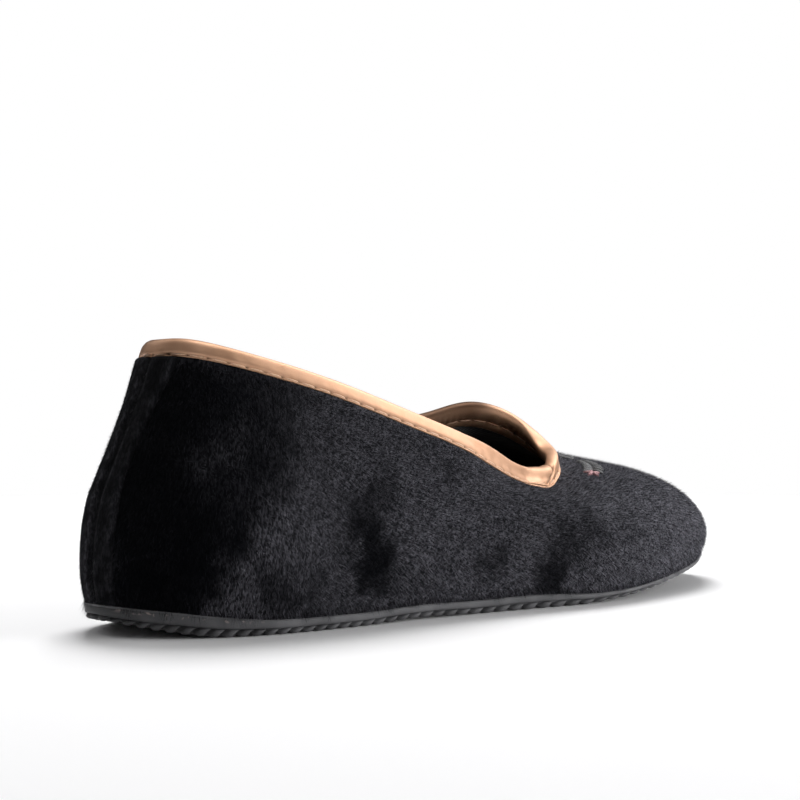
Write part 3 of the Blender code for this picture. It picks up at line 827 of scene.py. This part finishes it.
def read_table(table, at):
    """A table of pairs, read at a place by straight lines between its rows."""
    return np.interp(at, *zip(*table))


stitches = round(collar_length / STITCH_PITCH)
pitch = collar_length / stitches
to_hole = np.abs((run_round + pitch / 2) % pitch - pitch / 2)
leg = read_table(LEG_AT, rim[:, 1] / MM) * MM
edge, edge_out = down_the_wall(0.0)
below, _ = down_the_wall(1.5 * MM)
over = unit(edge - below)
print(f"binding: {stitches} stitches, {pitch / MM:.2f} mm apart")

# %% Collar binding: tape end and painted shade
# The strip's two ends overlap at the front of the throat: one lies on the other and ends in a round edge.
TAPE_END = np.array([17.2, 33.0]) * MM
tape_end = run_round[np.argmin(np.linalg.norm(rim[:, :2] - TAPE_END, axis=1))]
TAPE_RISE, TAPE_ROUND, TAPE_FADE = 0.60, 8.0 * MM, 16 * MM
CREASE_AFTER, CREASE_WIDE, CREASE_DEEP = 1.6 * MM, 1.1 * MM, 0.9
PUCKER_PITCH, PUCKER_DEEP = 2.3 * MM, 0.32
PUFF = 0.07
past_end = run_round - tape_end
under = smooth_step(past_end, -16 * MM, -8 * MM) * (1 - smooth_step(past_end, 14 * MM, 24 * MM))
# how dark the painted shade on the film is at most, and from where to where along the shoe that fades, in mm
PAINTED_SHADE = {"heel": (0.24, -108, -76), "inside": (0.80, 31, 43), "roll": (0.84, 34, 42)}
# painted shade: the least there is, the shade in the crease beside the tape end, and the shade in stitch
# holes
LEAST_SHADE, CREASE_DARK, HOLE_DARK = 0.03, 0.9, 0.9
ROLL_OUTSIDE, ROLL_INSIDE = 0.62, 0.38


def past_round_end(across):
    """How far each place lies past the round end; across is 0 at the inside lip and 1 at the outside one."""
    return past_end - TAPE_ROUND * (1 - (2 * across - 1)**2)


def layers(across):
    """Extra height in mm from the upper tape end, with the crease beside it."""
    past = past_round_end(across)
    on_top = (1 - smooth_step(past, -0.5 * MM, 0.5 * MM)) * smooth_step(past, -TAPE_FADE, -0.4 * TAPE_FADE)
    return TAPE_RISE * on_top - CREASE_DEEP * crease(across)


def crease(across):
    """The gap that the round end leaves beside it, deepest over the edge and on the outside."""
    past = past_round_end(across)
    return np.exp(-((past - CREASE_AFTER) / CREASE_WIDE)**2) * smooth_step(across, 0.2, 0.5)


# Painted shade on the film: full behind the start of its span along the shoe, gone past its end.
def painted_shade_of(where):
    most, start, end = PAINTED_SHADE[where]
    return most * (1 - smooth_step(rim[:, 1], start * MM, end * MM))


def puckers(share_down):
    """The leather gathers above the inner row of stitches in uneven small folds."""
    uneven = 1.7 * np.sin(run_round / (6.1 * MM)) + 1.1 * np.sin(run_round / (2.7 * MM) + 1)
    fold = np.sin(2 * np.pi * run_round / PUCKER_PITCH + uneven)
    strength = 0.5 + 0.5 * np.sin(run_round / (9.0 * MM) + 0.6)
    return PUCKER_DEEP * fold * strength * math.exp(-((share_down - 0.40) / 0.13)**2)


print(f"tape end: {tape_end / MM:.0f} mm round the collar")

# %% Collar binding: rows
ring, shades = [], []


def add_ring(down, off, from_stitch, side, shade):
    """One row of the binding: off the outer face of the wall (side 1) or the inner face (side -1)."""
    spot, normal = down_the_wall(down)
    hole = np.exp(-(from_stitch / HOLE_HIGH)**2) * np.exp(-(to_hole / (HOLE_LONG / 2))**2)
    height = off * MM - hole * HOLE_DEEP
    ring.append(spot + normal * (height if side > 0 else -COLLAR_WALL - height)[:, None])
    # painted shade in the stitch holes
    shades.append(np.maximum(HOLE_DARK * hole, shade))


def across_outside(down):
    return ROLL_OUTSIDE + (1 - ROLL_OUTSIDE) * np.minimum(down, 1)


# painted shade at the back of the heel, where the strip turns away from the light
heel_shade = painted_shade_of("heel")
for beyond, off in UNDER_LIP:
    add_ring(leg + beyond * under * MM, off * under, leg, 1, 0.0)
for down, off in OUTSIDE:
    puffed = PUFF * (4 * to_hole / pitch - 1) * math.exp(-((down - 0.6) / 0.22)**2)
    across = across_outside(down)
    # painted shade on the outside: at the heel, and in the crease beside the tape end
    darkening = np.maximum(heel_shade, CREASE_DARK * crease(across))
    add_ring(down * leg, off + puffed + layers(across), (down - STITCH_SHARE) * leg, 1, darkening)
# Inside, the film is painted darker as painted shade and reflection, and brighter at the front of the throat.
# On the shoe's inner half that painted shade starts from the outside of the roll, on the outer half only from
# its top: in degrees round the roll.
SHADE_FROM_INNER, SHADE_FROM_OUTER, SHADE_WITHIN, HALVES_MEET = -90, 40, 90, 14 * MM
inside_shade = LEAST_SHADE + painted_shade_of("inside")
roll_shade = LEAST_SHADE + painted_shade_of("roll")
inner_half = smooth_step(to_frame[0] - rim[:, 0], -HALVES_MEET, HALVES_MEET)
shade_from = SHADE_FROM_OUTER + (SHADE_FROM_INNER - SHADE_FROM_OUTER) * inner_half
# On the inner half of the throat's front the strip is folded loosely, so its roll is fuller inside.
FULLER = 1.4
loose = FULLER * smooth_step(rim[:, 1], 24 * MM, 44 * MM) * (1 - smooth_step(rim[:, 0], 0, 8 * MM))
for angle, radius in ROLL:
    turn = math.radians(angle)
    reach = edge_out * math.cos(turn) + over * math.sin(turn)
    across = ROLL_OUTSIDE + (ROLL_INSIDE - ROLL_OUTSIDE) * angle / 180
    thick = (radius + layers(across)) * MM
    inwards = COLLAR_WALL / 2 + loose * smooth_step(angle, 60, 150) * MM
    ring.append(edge - edge_out * inwards[:, None] + reach * thick[:, None])
    darkening = np.maximum(roll_shade * smooth_step(angle, shade_from, shade_from + SHADE_WITHIN), heel_shade)
    shades.append(np.maximum(darkening, CREASE_DARK * crease(across)))
for down, off in INSIDE:
    lift = layers(ROLL_INSIDE * (1 - down)) + loose * (1 - smooth_step(down, 0.1, 0.45))
    height = off + puckers(down) + lift
    from_stitch = np.full(AROUND, (down - INSIDE_STITCH_SHARE) * INSIDE_LEG)
    add_ring(down * INSIDE_LEG, height, from_stitch, -1, inside_shade * (1 - 0.7 * smooth_step(down, 0.45, 0.8)))
for share_down, side in ((0.7, -1), (0.3, -1), (0.02, -1), (0.02, 1), (0.3, 1), (0.6, 1)):
    add_ring(share_down * leg, np.full(AROUND, -0.1), leg, side, 0.0)
ring.append(ring[0])
shades.append(shades[0])
BINDING_EVERY = 2


def face_outwards():
    """Turns the faces of the piece at hand outwards and shades them smooth."""
    bpy.ops.object.mode_set(mode="EDIT")
    bpy.ops.mesh.select_all(action="SELECT")
    bpy.ops.mesh.normals_make_consistent(inside=False)
    bpy.ops.object.mode_set(mode="OBJECT")
    bpy.ops.object.shade_smooth()


binding = laid_grid("collar_binding_strip", round_again(np.stack(ring, axis=1)[::BINDING_EVERY]),
                    shaded=round_again(np.stack(shades, axis=1)[::BINDING_EVERY]))
face_outwards()
binding.data.materials.append(copper)
finish_piece(binding, "collar_binding")

# %% [markdown]
# A stitch is a short piece of thread that comes out of one hole and goes into the next. One is modelled from
# a small sphere, drawn out, and its ends are bent down into the leather. It is copied to every place.

# %% Stitches
STITCH_LENGTH, STITCH_THICK = 4.5 * MM, 0.45 * MM
END_DROP = 0.3 * MM
STITCH_OFF = 0.50


def drawn_out(segments, shape):
    """A small sphere whose points are moved by shape: a template to copy."""
    start_fresh()
    bpy.ops.mesh.primitive_uv_sphere_add(segments=segments, ring_count=segments, radius=0.5)
    template = bpy.context.object
    for vertex in template.data.vertices:
        vertex.co = shape(*vertex.co)
    face_outwards()
    return template


def stitch_shape(across, side, along):
    high = STITCH_THICK * across - END_DROP * (2 * along) ** 4
    return STITCH_LENGTH * along, STITCH_THICK * side, high


def copy_along(template, name, places, forward, upright):
    """Copies of a template at places, its X turned along forward and its Z towards upright, joined to one."""
    copies = []
    for place, ahead, normal in zip(places, forward, upright):
        side = np.cross(normal, ahead)
        turn = Matrix((ahead, side, normal)).transposed().to_4x4()
        copy = template.copy()
        copy.data = template.data.copy()
        copy.data.transform(Matrix.Translation(place) @ turn)
        bpy.context.scene.collection.objects.link(copy)
        copies.append(copy)
    start_fresh()
    for copy in copies:
        copy.select_set(True)
    bpy.context.view_layer.objects.active = copies[0]
    bpy.ops.object.join()
    joined = bpy.context.object
    joined.name = joined.data.name = name
    bpy.data.objects.remove(template)
    return joined


def stitch_row(name, down, off, side, material):
    """A row of stitches on the outside (side 1) or the inside (side -1) of the binding."""
    spot, normal = down_the_wall(down)
    line = spot + normal * (off if side > 0 else -COLLAR_WALL / MM - off)[:, None] * MM
    middle = (np.arange(stitches) + 0.5) * pitch
    nearest = np.searchsorted(run_round, middle) % AROUND
    forward = unit(np.roll(line, -3, axis=0) - np.roll(line, 3, axis=0))[nearest]
    upright = side * normal[nearest]
    upright = unit(upright - forward * (upright * forward).sum(axis=1, keepdims=True))
    row = copy_along(drawn_out(8, stitch_shape), name, line[nearest], forward, upright)
    row.data.materials.append(material)
    finish_piece(row)


stitch_row("binding_stitches_outside", STITCH_SHARE * leg,
           STITCH_OFF + layers(across_outside(STITCH_SHARE)), 1, thread)
stitch_row("binding_stitches_inside", INSIDE_STITCH_SHARE * INSIDE_LEG,
           np.full(AROUND, STITCH_OFF), -1, inner_thread)

# %% [markdown]
# The strip over the heel seam is two folded edges of velour that meet in the middle. It lies on the wall,
# so it is a narrow grid with a raised profile: thin at its edges, full in each half, with a groove between.

# %% Strip over the heel seam
# up the strip in percent, and half its width there in mm
STRIP_WIDTHS = [(0, 7.2), (30, 6.8), (50, 5.6), (70, 6.0), (85, 7.6), (100, 9.5)]
STRIP_ROWS, STRIP_ACROSS = 60, 40
# painted light: the far half of the strip is painted lighter, where light falls on it
FAR_HALF_LIGHTER = 1.9
STRIP_WALL, STRIP_SUNK, GROOVE_WIDE, GROOVE_DEEP = 0.5 * MM, 0.2, 1.1 * MM, 0.8
# up the strip in percent, and how thick it is there in mm
STRIP_HEIGHTS = [(0, 1.2), (20, 1.5), (40, 2.4), (60, 1.6), (80, 1.5), (93, 1.9), (100, 2.0)]
strip_low, strip_high = below_rim[0, -1] - 0.5 * MM, 4.0 * MM
rows, ridges = [], []
for up in np.linspace(0, 1, STRIP_ROWS + 1):
    half = read_table(STRIP_WIDTHS, up * 100) * MM
    spot, normal = down_the_wall(strip_low + (strip_high - strip_low) * up)
    spot, normal = np.roll(spot, AROUND // 2, axis=0), np.roll(normal, AROUND // 2, axis=0)
    travelled = np.append(0, np.cumsum(np.linalg.norm(np.diff(spot, axis=0), axis=1)))
    travelled -= travelled[AROUND // 2]
    across = np.linspace(-1, 1, STRIP_ACROSS + 1)
    rise = smooth_step(1 - np.abs(across), -0.02, 0.20)
    seam = 1 - GROOVE_DEEP * np.exp(-(across * half / GROOVE_WIDE)**2)
    height = (-STRIP_SUNK + read_table(STRIP_HEIGHTS, up * 100) * rise * seam) * MM
    laid, out = (np.stack([np.interp(across * half, travelled, of[:, axis]) for axis in range(3)], axis=1)
                 for of in (spot, normal))
    rows.append(laid + unit(out) * height[:, None])
    # painted highlights beside the seam and near the edges, painted shade in the seam's groove
    from_seam = np.abs(across) * half / MM
    by_seam = np.exp(-((from_seam - 1.8) / 0.5)**2)
    by_edge = np.exp(-((np.abs(across) - 0.86) / 0.08)**2)
    ridge = 0.55 + 0.75 * by_seam + 0.55 * by_edge - 0.4 * np.exp(-(from_seam / 0.8)**2)
    ridges.append(ridge * np.where(across < 0, FAR_HALF_LIGHTER, 1))
strip_top, strip_ridge = np.stack(rows, axis=1), np.stack(ridges, axis=1)
strip = laid_grid("heel_seam_strip", strip_top, ridge=strip_ridge)
strip.data.materials.append(strip_velour)
apply_modifier(strip, "SOLIDIFY", thickness=STRIP_WALL, offset=-1)
finish_piece(strip, "heel_backstay")

# %% [markdown]
# Real pile stands out: it blurs the outline of the shoe and frays over the sole's edge. Each fibre is a
# slender closed pyramid of four triangles, planted on the wall and combed: down at the heel, down and
# forward on the side, with a slow swirl. So many copies can't be placed by hand, so their points are worked
# out all at once and handed to the mesh. Four pieces keep each mesh small enough to save.

# %% Planting pile
PILE_SEED = 11
FIBRES_EACH = 38000
FIBRE_LONG, FIBRE_WIDE = 1.6 * MM, 0.12 * MM
LYING = 60.0
COMB_STRAY, LEAN_STRAY, ROOT_DEEP = 0.22, 12, 0.15 * MM


def combed(places):
    """Which way the pile is brushed at places: down at the heel, forward and down on the side."""
    forward = smooth_step(places[:, 1], -95 * MM, -45 * MM)
    y, z = places[:, 1] / MM, places[:, 2] / MM
    wave = 0.5 * np.sin(y / 9 + 2.1 * np.sin(z / 7))
    tuft = 0.35 * np.sin(y * 2.1 + 1.8 * np.sin(z * 1.3)) * np.sin(z * 1.7 + 1.5 * np.sin(y * 0.9))
    return np.column_stack([0.15 * wave, 0.75 * forward + 0.4 * wave + tuft, -0.8 + 0.3 * wave + 0.5 * tuft])


def plant(name, roots, normals, lengths, lying, comb, material, rng, **marks):
    """A mesh of fibres at roots, leaning from the normal towards the comb direction by lying degrees."""
    count = len(roots)
    comb = comb + rng.normal(0, COMB_STRAY, (count, 3))
    comb = unit(comb - normals * (comb * normals).sum(axis=1, keepdims=True))
    lean = np.radians(lying + rng.normal(0, LEAN_STRAY, count))[:, None]
    ahead = normals * np.cos(lean) + comb * np.sin(lean)
    side = unit(np.cross(normals, comb))
    other = np.cross(ahead, side)
    wide = FIBRE_WIDE * rng.uniform(0.7, 1.2, count)[:, None] / 2
    root = roots - normals * ROOT_DEEP
    tip = root + ahead * lengths[:, None]
    points = np.stack([root + side * wide, root - side * wide, root + other * wide, tip], axis=1)
    corners = np.array([[0, 2, 3], [2, 1, 3], [1, 0, 3], [0, 1, 2]])
    faces = (np.arange(count)[:, None, None] * 4 + corners).reshape(-1, 3)
    mesh = bpy.data.meshes.new(name)
    mesh.from_pydata(points.reshape(-1, 3), [], faces)
    marks["shade"] = rng.uniform(0.05, 1.0, count)**3
    for label, values in marks.items():
        mesh.attributes.new(label, "FLOAT", "POINT").data.foreach_set("value", np.repeat(values, 4))
    cells = math.ceil(math.sqrt(count))
    cell = np.stack([np.arange(count) % cells, np.arange(count) // cells], axis=1) / cells
    corner = np.array([[0.2, 0.2], [0.8, 0.2], [0.5, 0.5], [0.5, 0.8]]) / cells
    spread = (cell[:, None] + corner).reshape(-1, 2)
    mesh.uv_layers.new(name="OFBake").data.foreach_set("uv", spread[faces.ravel()].ravel())
    mesh.materials.append(material)
    piece = bpy.data.objects.new(name, mesh)
    bpy.context.scene.collection.objects.link(piece)
    finish_piece(piece)


print(f"fibres: {FIBRES_EACH} to a piece")

# %% Pile on the upper


def face_areas(grid):
    return np.linalg.norm(np.cross(grid[1:, 1:] - grid[:-1, :-1], grid[1:, :-1] - grid[:-1, 1:]), axis=2) / 2


def scatter(grid, facing, weight, count, rng):
    """Random places on a grid with their normals and cells, as dense as weight says."""
    chosen = rng.choice(weight.size, count, p=(weight / weight.sum()).ravel())
    i, j = np.unravel_index(chosen, weight.shape)
    u, v = rng.random((2, count, 1))
    places, normals = ((1 - u) * (1 - v) * g[i, j] + u * (1 - v) * g[i + 1, j]
                       + (1 - u) * v * g[i, j + 1] + u * v * g[i + 1, j + 1] for g in (grid, facing))
    return places, unit(normals), (i, j)


PILE_EVERY = 4
HEEL_ENDS, TOE_STARTS, BARE_BELOW_BINDING = -70 * MM, 40 * MM, 0.4 * MM
ground, facing = round_again(soft_wall[::PILE_EVERY]), round_again(wall_normals[::PILE_EVERY])
middles = (ground[:-1, :-1] + ground[1:, 1:]) / 2
free = below_rim[::PILE_EVERY, ::-1][:, 1:] > leg[::PILE_EVERY, None] + BARE_BELOW_BINDING
areas = face_areas(ground) * free
lengthwise, outer = middles[:, :, 1], middles[:, :, 0] > 0
side_part = (lengthwise >= HEEL_ENDS) & (lengthwise < TOE_STARTS)
REGIONS = {
    "pile_heel": lengthwise < HEEL_ENDS,
    "pile_outer_side": side_part & outer,
    "pile_inner_side": side_part & ~outer,
    "pile_toe": lengthwise >= TOE_STARTS,
}
rng = np.random.default_rng(PILE_SEED)
for name, region in REGIONS.items():
    roots, normals, _ = scatter(ground, facing, areas * region, FIBRES_EACH, rng)
    lengths = FIBRE_LONG * rng.uniform(0.6, 1.3, FIBRES_EACH)
    plant(name, roots, normals, lengths, LYING, combed(roots), fibre, rng)

# %% [markdown]
# The strip has its own pile, brushed straight down, and a fringe of longer fibres hangs from the hem of the
# upper over the sole's band, in uneven tufts. At the heel it frays and hangs lower, but stays off the floor.

# %% Strip pile and hem fringe
STRIP_FIBRES, HEM_FIBRES = 12000, 16000
HEM_LOW, HEM_HIGH = 0.2 * MM, 2.6 * MM
HEM_FRAYS_FROM, HEM_FRAYS_FULL, HEM_FRAY, HEM_HANG = 40 * MM, 80 * MM, 0.6, 18.0
HEM_OFF_FLOOR = 1.5 * MM
SEAM_BARE = 0.16
strip_facing = unit(np.cross(np.gradient(strip_top, axis=0), np.gradient(strip_top, axis=1)))
off_seam = np.abs(np.linspace(-1, 1, STRIP_ACROSS)) > SEAM_BARE
strip_areas = face_areas(strip_top) * off_seam[:, None]
roots, normals, cell = scatter(strip_top, strip_facing, strip_areas, STRIP_FIBRES, rng)
# the strip's fibres take its painted highlights and painted shade
plant("pile_strip", roots, normals, FIBRE_LONG * rng.uniform(0.35, 0.7, STRIP_FIBRES), LYING,
      np.tile([0.0, 0.0, -1.0], (STRIP_FIBRES, 1)), strip_fibre, rng, ridge=strip_ridge[cell])

from_bottom = np.cumsum(np.linalg.norm(np.diff(ground, axis=1), axis=2), axis=1)[:-1]
hem = face_areas(ground) * (from_bottom > HEM_LOW) * (from_bottom < HEM_HIGH)
roots, normals, _ = scatter(ground, facing, hem, HEM_FIBRES, rng)
across, along = roots[:, 0], roots[:, 1]
tufts = 0.5 + 0.5 * np.sin(along / (2.3 * MM) + 2 * np.sin(along / (5.7 * MM)) + across / (3 * MM))
lengths = (1.3 + 2.2 * tufts**2 * rng.uniform(0.2, 1.0, HEM_FIBRES)) * MM
frayed = smooth_step(-along, HEM_FRAYS_FROM, HEM_FRAYS_FULL)
lengths = np.minimum(lengths * (1 + HEM_FRAY * frayed), roots[:, 2] - HEM_OFF_FLOOR)
plant("pile_hem", roots, normals, lengths, LYING + HEM_HANG * frayed,
      np.tile([0.0, 0.1, -1.0], (HEM_FIBRES, 1)), fibre, rng)

# %% [markdown]
# The vamp carries a small raised sprig in satin stitch: dark leaves in an arc with a dusty pink bud at each
# end. One leaf is modelled from a sphere, flattened and drawn out to two points, and copied along the arc.
# Rays dropped on the upper find the places and the way each leaf has to lie.

# %% Sprig: leaf and thread
LEAF_LONG, LEAF_WIDE, LEAF_HIGH = 5.6 * MM, 2.3 * MM, 1.5 * MM
SPRIG_HALF, SPRIG_MIDDLE, SPRIG_ARCH = 14.0 * MM, np.array([-1.0, 67.0]) * MM, 9.0 * MM
LEAF_PAIRS = 5
LEAF_OPEN = math.radians(38)
PETALS, BUD_SIZE = 5, 0.6


def model_leaf(size):
    def leaf_shape(high, side, along):
        pointed = 1 - abs(2 * along) ** 2.5
        groove = 0.25 * math.exp(-(side / 0.1) ** 2) * max(high, 0)
        wide = LEAF_WIDE * side * (0.4 + 0.6 * pointed)
        return size * LEAF_LONG * along, size * wide, LEAF_HIGH * (high - groove)

    return drawn_out(10, leaf_shape)


def satin_stitch(name, dark, light):
    material, tree, shader, place = new_material(name, Roughness=0.45, Sheen_Weight=0.2)
    rows = add_node(tree, "ShaderNodeTexWave", {"Vector": place, "Scale": 700.0, "Distortion": 1.5},
                    bands_direction="DIAGONAL").outputs["Fac"]
    feed(tree, shader, Base_Color=blend_colours(tree, rows, dark, light))
    raise_bumps(tree, shader, rows, 0.5, 0.15)
    return material


print(f"sprig: {2 * (2 * LEAF_PAIRS + 1)} leaves, {2 * PETALS} petals")

# %% Sprig on the vamp
upper_tree = faces_of(upper.data)


def lay_leaves(name, flat_places, ways, material, size=1.0):
    """Leaves dropped on the upper at places seen from above, each turned its own way."""
    places, forward, upright = [], [], []
    for (x, y), way in zip(flat_places, ways):
        place, normal, _, _ = upper_tree.ray_cast(Vector((x, y, DROP_FROM)), Vector((0, 0, -1)))
        ahead = Vector((math.cos(way), math.sin(way), 0))
        places.append(place)
        forward.append((ahead - normal * ahead.dot(normal)).normalized())
        upright.append(normal)
    piece = copy_along(model_leaf(size), name, places, forward, upright)
    piece.data.materials.append(material)
    finish_piece(piece)


leaf_places, leaf_ways, bud_places, bud_ways = [], [], [], []
for k in range(-LEAF_PAIRS, LEAF_PAIRS + 1):
    t = 0.8 * k / LEAF_PAIRS
    middle = SPRIG_MIDDLE + np.array([SPRIG_HALF * t, -SPRIG_ARCH * t * t])
    tangent = math.atan2(-2 * SPRIG_ARCH * t, SPRIG_HALF)
    for turn in (LEAF_OPEN, -LEAF_OPEN):
        way = tangent + turn + (math.pi if k < 0 else 0) - (2 * turn if k < 0 else 0)
        leaf_places.append(middle + 0.42 * LEAF_LONG * np.array([math.cos(way), math.sin(way)]))
        leaf_ways.append(way)
for end in (-1, 1):
    middle = SPRIG_MIDDLE + np.array([SPRIG_HALF * 1.02 * end, -SPRIG_ARCH * 1.04])
    for petal in range(PETALS):
        way = 2 * math.pi * petal / PETALS
        bud_places.append(middle + 0.2 * LEAF_LONG * np.array([math.cos(way), math.sin(way)]))
        bud_ways.append(way)
lay_leaves("sprig_leaves", leaf_places, leaf_ways,
           satin_stitch("dark satin thread", (0.004, 0.004, 0.005, 1), (0.022, 0.022, 0.025, 1)))
lay_leaves("sprig_buds", bud_places, bud_ways,
           satin_stitch("dusty pink thread", (0.25, 0.09, 0.10, 1), (0.52, 0.24, 0.25, 1)), BUD_SIZE)

# %% [markdown]
# Sole and sock keep the CAD shape. A copy of the node is merged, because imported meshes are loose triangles,
# and then its edges are softened: moulded rubber has no sharp edges, and a padded sock has none at all. The
# tread's side is drawn in under the band, to make room for the rope edge that comes next.

# %% Sole


def softened_copy(node, name):
    """A merged copy of a CAD node's mesh, as a new piece."""
    start_fresh()
    piece = frame["nodes"][node].copy()
    piece.data = frame["nodes"][node].data.copy()
    for key in list(piece.keys()):
        del piece[key]
    piece.parent = None
    piece.name = piece.data.name = name
    piece.data.materials.clear()
    bpy.context.scene.collection.objects.link(piece)
    piece.select_set(True)
    bpy.context.view_layer.objects.active = piece
    bpy.ops.object.mode_set(mode="EDIT")
    bpy.ops.mesh.select_all(action="SELECT")
    bpy.ops.mesh.remove_doubles(threshold=1e-6)
    bpy.ops.mesh.tris_convert_to_quads(face_threshold=math.pi, shape_threshold=math.pi,
                                       topology_influence=1.3)
    bpy.ops.object.mode_set(mode="OBJECT")
    return piece


HEEL_CURL, HEEL_CURL_INSIDE = 0.6 * MM, 0.5 * MM


def heel_lift(x, y):
    """The sole curls up towards the back of the heel, a little more at the inner corner."""
    curl = HEEL_CURL * smooth_step(-y, 92 * MM, 114 * MM)
    return curl + HEEL_CURL_INSIDE * smooth_step(-x, -8 * MM, 10 * MM) * smooth_step(-y, 98 * MM, 114 * MM)


sole = softened_copy("outsole", "ribbed_sole")
edge_tree = nearest_among(flat_bottom * (1, 1, 0))
TREAD_INSET, TREAD_TOP = 1.3 * MM, 1.4 * MM
for vertex in sole.data.vertices:
    x, y, z = vertex.co
    i = edge_tree.find((x, y, 0))[1]
    from_edge = (flat_bottom[i] - np.array(vertex.co)) @ outward[i]
    under_band = smooth_step(flat_bottom[i, 2] - z, TREAD_TOP, TREAD_TOP + 0.2 * MM)
    tucked = under_band * (1 - smooth_step(from_edge, 1 * MM, 6 * MM)) * TREAD_INSET
    vertex.co -= Vector(outward[i] * tucked)
    vertex.co.z += float(smooth_step(-z, -6 * MM, -4 * MM) * heel_lift(x, y))
apply_modifier(sole, "BEVEL", width=0.3 * MM, segments=2, limit_method="ANGLE",
               angle_limit=math.radians(30))
bpy.ops.object.shade_smooth_by_angle(angle=math.radians(45))
sole.data.materials.append(rubber)
finish_piece(sole, "outsole")

# %% [markdown]
# The sole's side shows a smooth band over a row of slanted rubber lobes, like a rope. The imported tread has
# plain notches there, so a moulded edge is laid round it: a grid whose lower rows swell and tuck in with a
# rope's rhythm, leaning towards the toe.

# %% Rope edge: heights and pitch
# along the last in percent, and the pitch of the lobes there in mm
LOBE_PITCH = [(0, 3.8), (15, 3.9), (40, 4.6), (60, 5.6), (85, 5.0), (100, 4.2)]
LOBE_SLANT = 1.8 * MM
LOBE_FULL = 0.84
LOBE_ROWS = 10
# along the last in percent, and how much of the sole's height the lobes take, in percent
LOBE_SHARE = [(0, 34), (5, 42), (15, 42), (45, 46), (60, 50), (75, 51), (100, 48)]
# out from the upper's edge in mm, and up from the lobes to the top of the sole as a share
BAND = [(-1.5, 0.95), (0.0, 1.0), (0.30, 0.98), (0.50, 0.90), (0.62, 0.74), (0.70, 0.5), (0.70, 0.3),
        (0.62, 0.12), (0.20, 0.02)]

place_under = flat_bottom[:, :2]
sole_top = flat_bottom[:, 2] - GAP * MM
ribs_low = np.empty(AROUND)
for i in range(AROUND):
    start = Vector((*(place_under[i] - outward[i, :2] * 1.2 * MM), -0.01))
    ribs_low[i] = sole_tree.ray_cast(start, Vector((0, 0, 1)))[0].z
window = 6
ribs_low = np.min([np.roll(ribs_low, k) for k in range(-window, window + 1)], axis=0)
ribs_low = np.mean([np.roll(ribs_low, k) for k in range(-window, window + 1)], axis=0)
ribs_low += heel_lift(place_under[:, 0], place_under[:, 1])
along_last = (place_under[:, 1] - to_frame[1]) / (LAST_LENGTH * MM) * 100
split = ribs_low + (sole_top - ribs_low) * read_table(LOBE_SHARE, along_last) / 100
edge_steps = np.linalg.norm(np.roll(place_under, -1, axis=0) - place_under, axis=1)
lobe_pitch = read_table(LOBE_PITCH, along_last)
lobes_passed = np.append(0, np.cumsum(edge_steps / lobe_pitch / MM))
lobe_count = round(lobes_passed[-1])
lobes_passed = lobes_passed[:-1] * lobe_count / lobes_passed[-1]
print(f"rope edge: {lobe_count} lobes")

# %% Rope edge: rows
towards_toe = np.clip(4 * unit(heading)[:, 1], -1, 1)
rows, rope_shade, flecked = [], [], []
# The back of the heel is painted darkest, as painted shade where the heel turns away from the light.
SOLE_HEEL_SHADE, GLUE_ABOVE = 0.6, 0.6
sole_heel_shade = SOLE_HEEL_SHADE * smooth_step(-place_under[:, 1], 112 * MM, 121 * MM)
flecked_side = (smooth_step(-place_under[:, 1], 84 * MM, 100 * MM)
                * smooth_step(place_under[:, 0], 4 * MM, 14 * MM))


def sole_row(out, height, painted_dark, glued=0.0):
    rows.append(np.column_stack([place_under + outward[:, :2] * np.asarray(out)[..., None], height]))
    rope_shade.append(np.broadcast_to(painted_dark, AROUND))
    flecked.append(glued * flecked_side)


for out, up in BAND:
    sole_row(np.full(AROUND, out * MM), split + (sole_top - split) * up, sole_heel_shade, float(up > GLUE_ABOVE))
for k in range(LOBE_ROWS + 1):
    turn = math.pi * k / LOBE_ROWS
    rise = 0.5 + 0.5 * math.cos(turn)
    phase = lobes_passed - towards_toe * LOBE_SLANT * rise**1.3 / (lobe_pitch * MM)
    swell = np.sqrt(np.clip(1 - np.abs((2 * (phase % 1) - 1) / LOBE_FULL)**2.4, 0, 1))
    out = (-0.95 + 1.35 * swell * math.sin(turn)**0.6) * MM
    lift = 1.0 * MM * (1 - swell) * (1 - rise) * np.clip((split - ribs_low) / (1.4 * MM), 0.3, 1)
    # painted shade: the lobes darker than the band, most between them
    sole_row(out, ribs_low + 0.03 * MM + (split - ribs_low) * rise + lift,
             np.maximum(0.46 - 0.32 * swell, sole_heel_shade))
# painted shade on the row tucked under the lobes
sole_row(np.full(AROUND, -1.5 * MM), ribs_low + (split - ribs_low) * 0.4, 0.9)
rows.append(rows[0])
rope_shade.append(rope_shade[0])
flecked.append(flecked[0])
rows, rope_shade, flecked = (round_again(np.stack(marks, axis=1)) for marks in (rows, rope_shade, flecked))
rope_edge = laid_grid("rope_edge", rows, shaded=rope_shade, glue=flecked)
face_outwards()
rope_edge.data.materials.append(rubber)
finish_piece(rope_edge)

# %% [markdown]
# The sock is a thin pad under the foot, rounded all over by a subdivision surface.

# %% Sock
sock = softened_copy("insole", "padded_sock")
apply_modifier(sock, "SUBSURF", levels=2, render_levels=2)
bpy.ops.object.shade_smooth()
sock.data.materials.append(sock_cloth)
finish_piece(sock, "insole")

# %% Sizes and finish
print("triangles in all:", sum(triangles_of.values()))
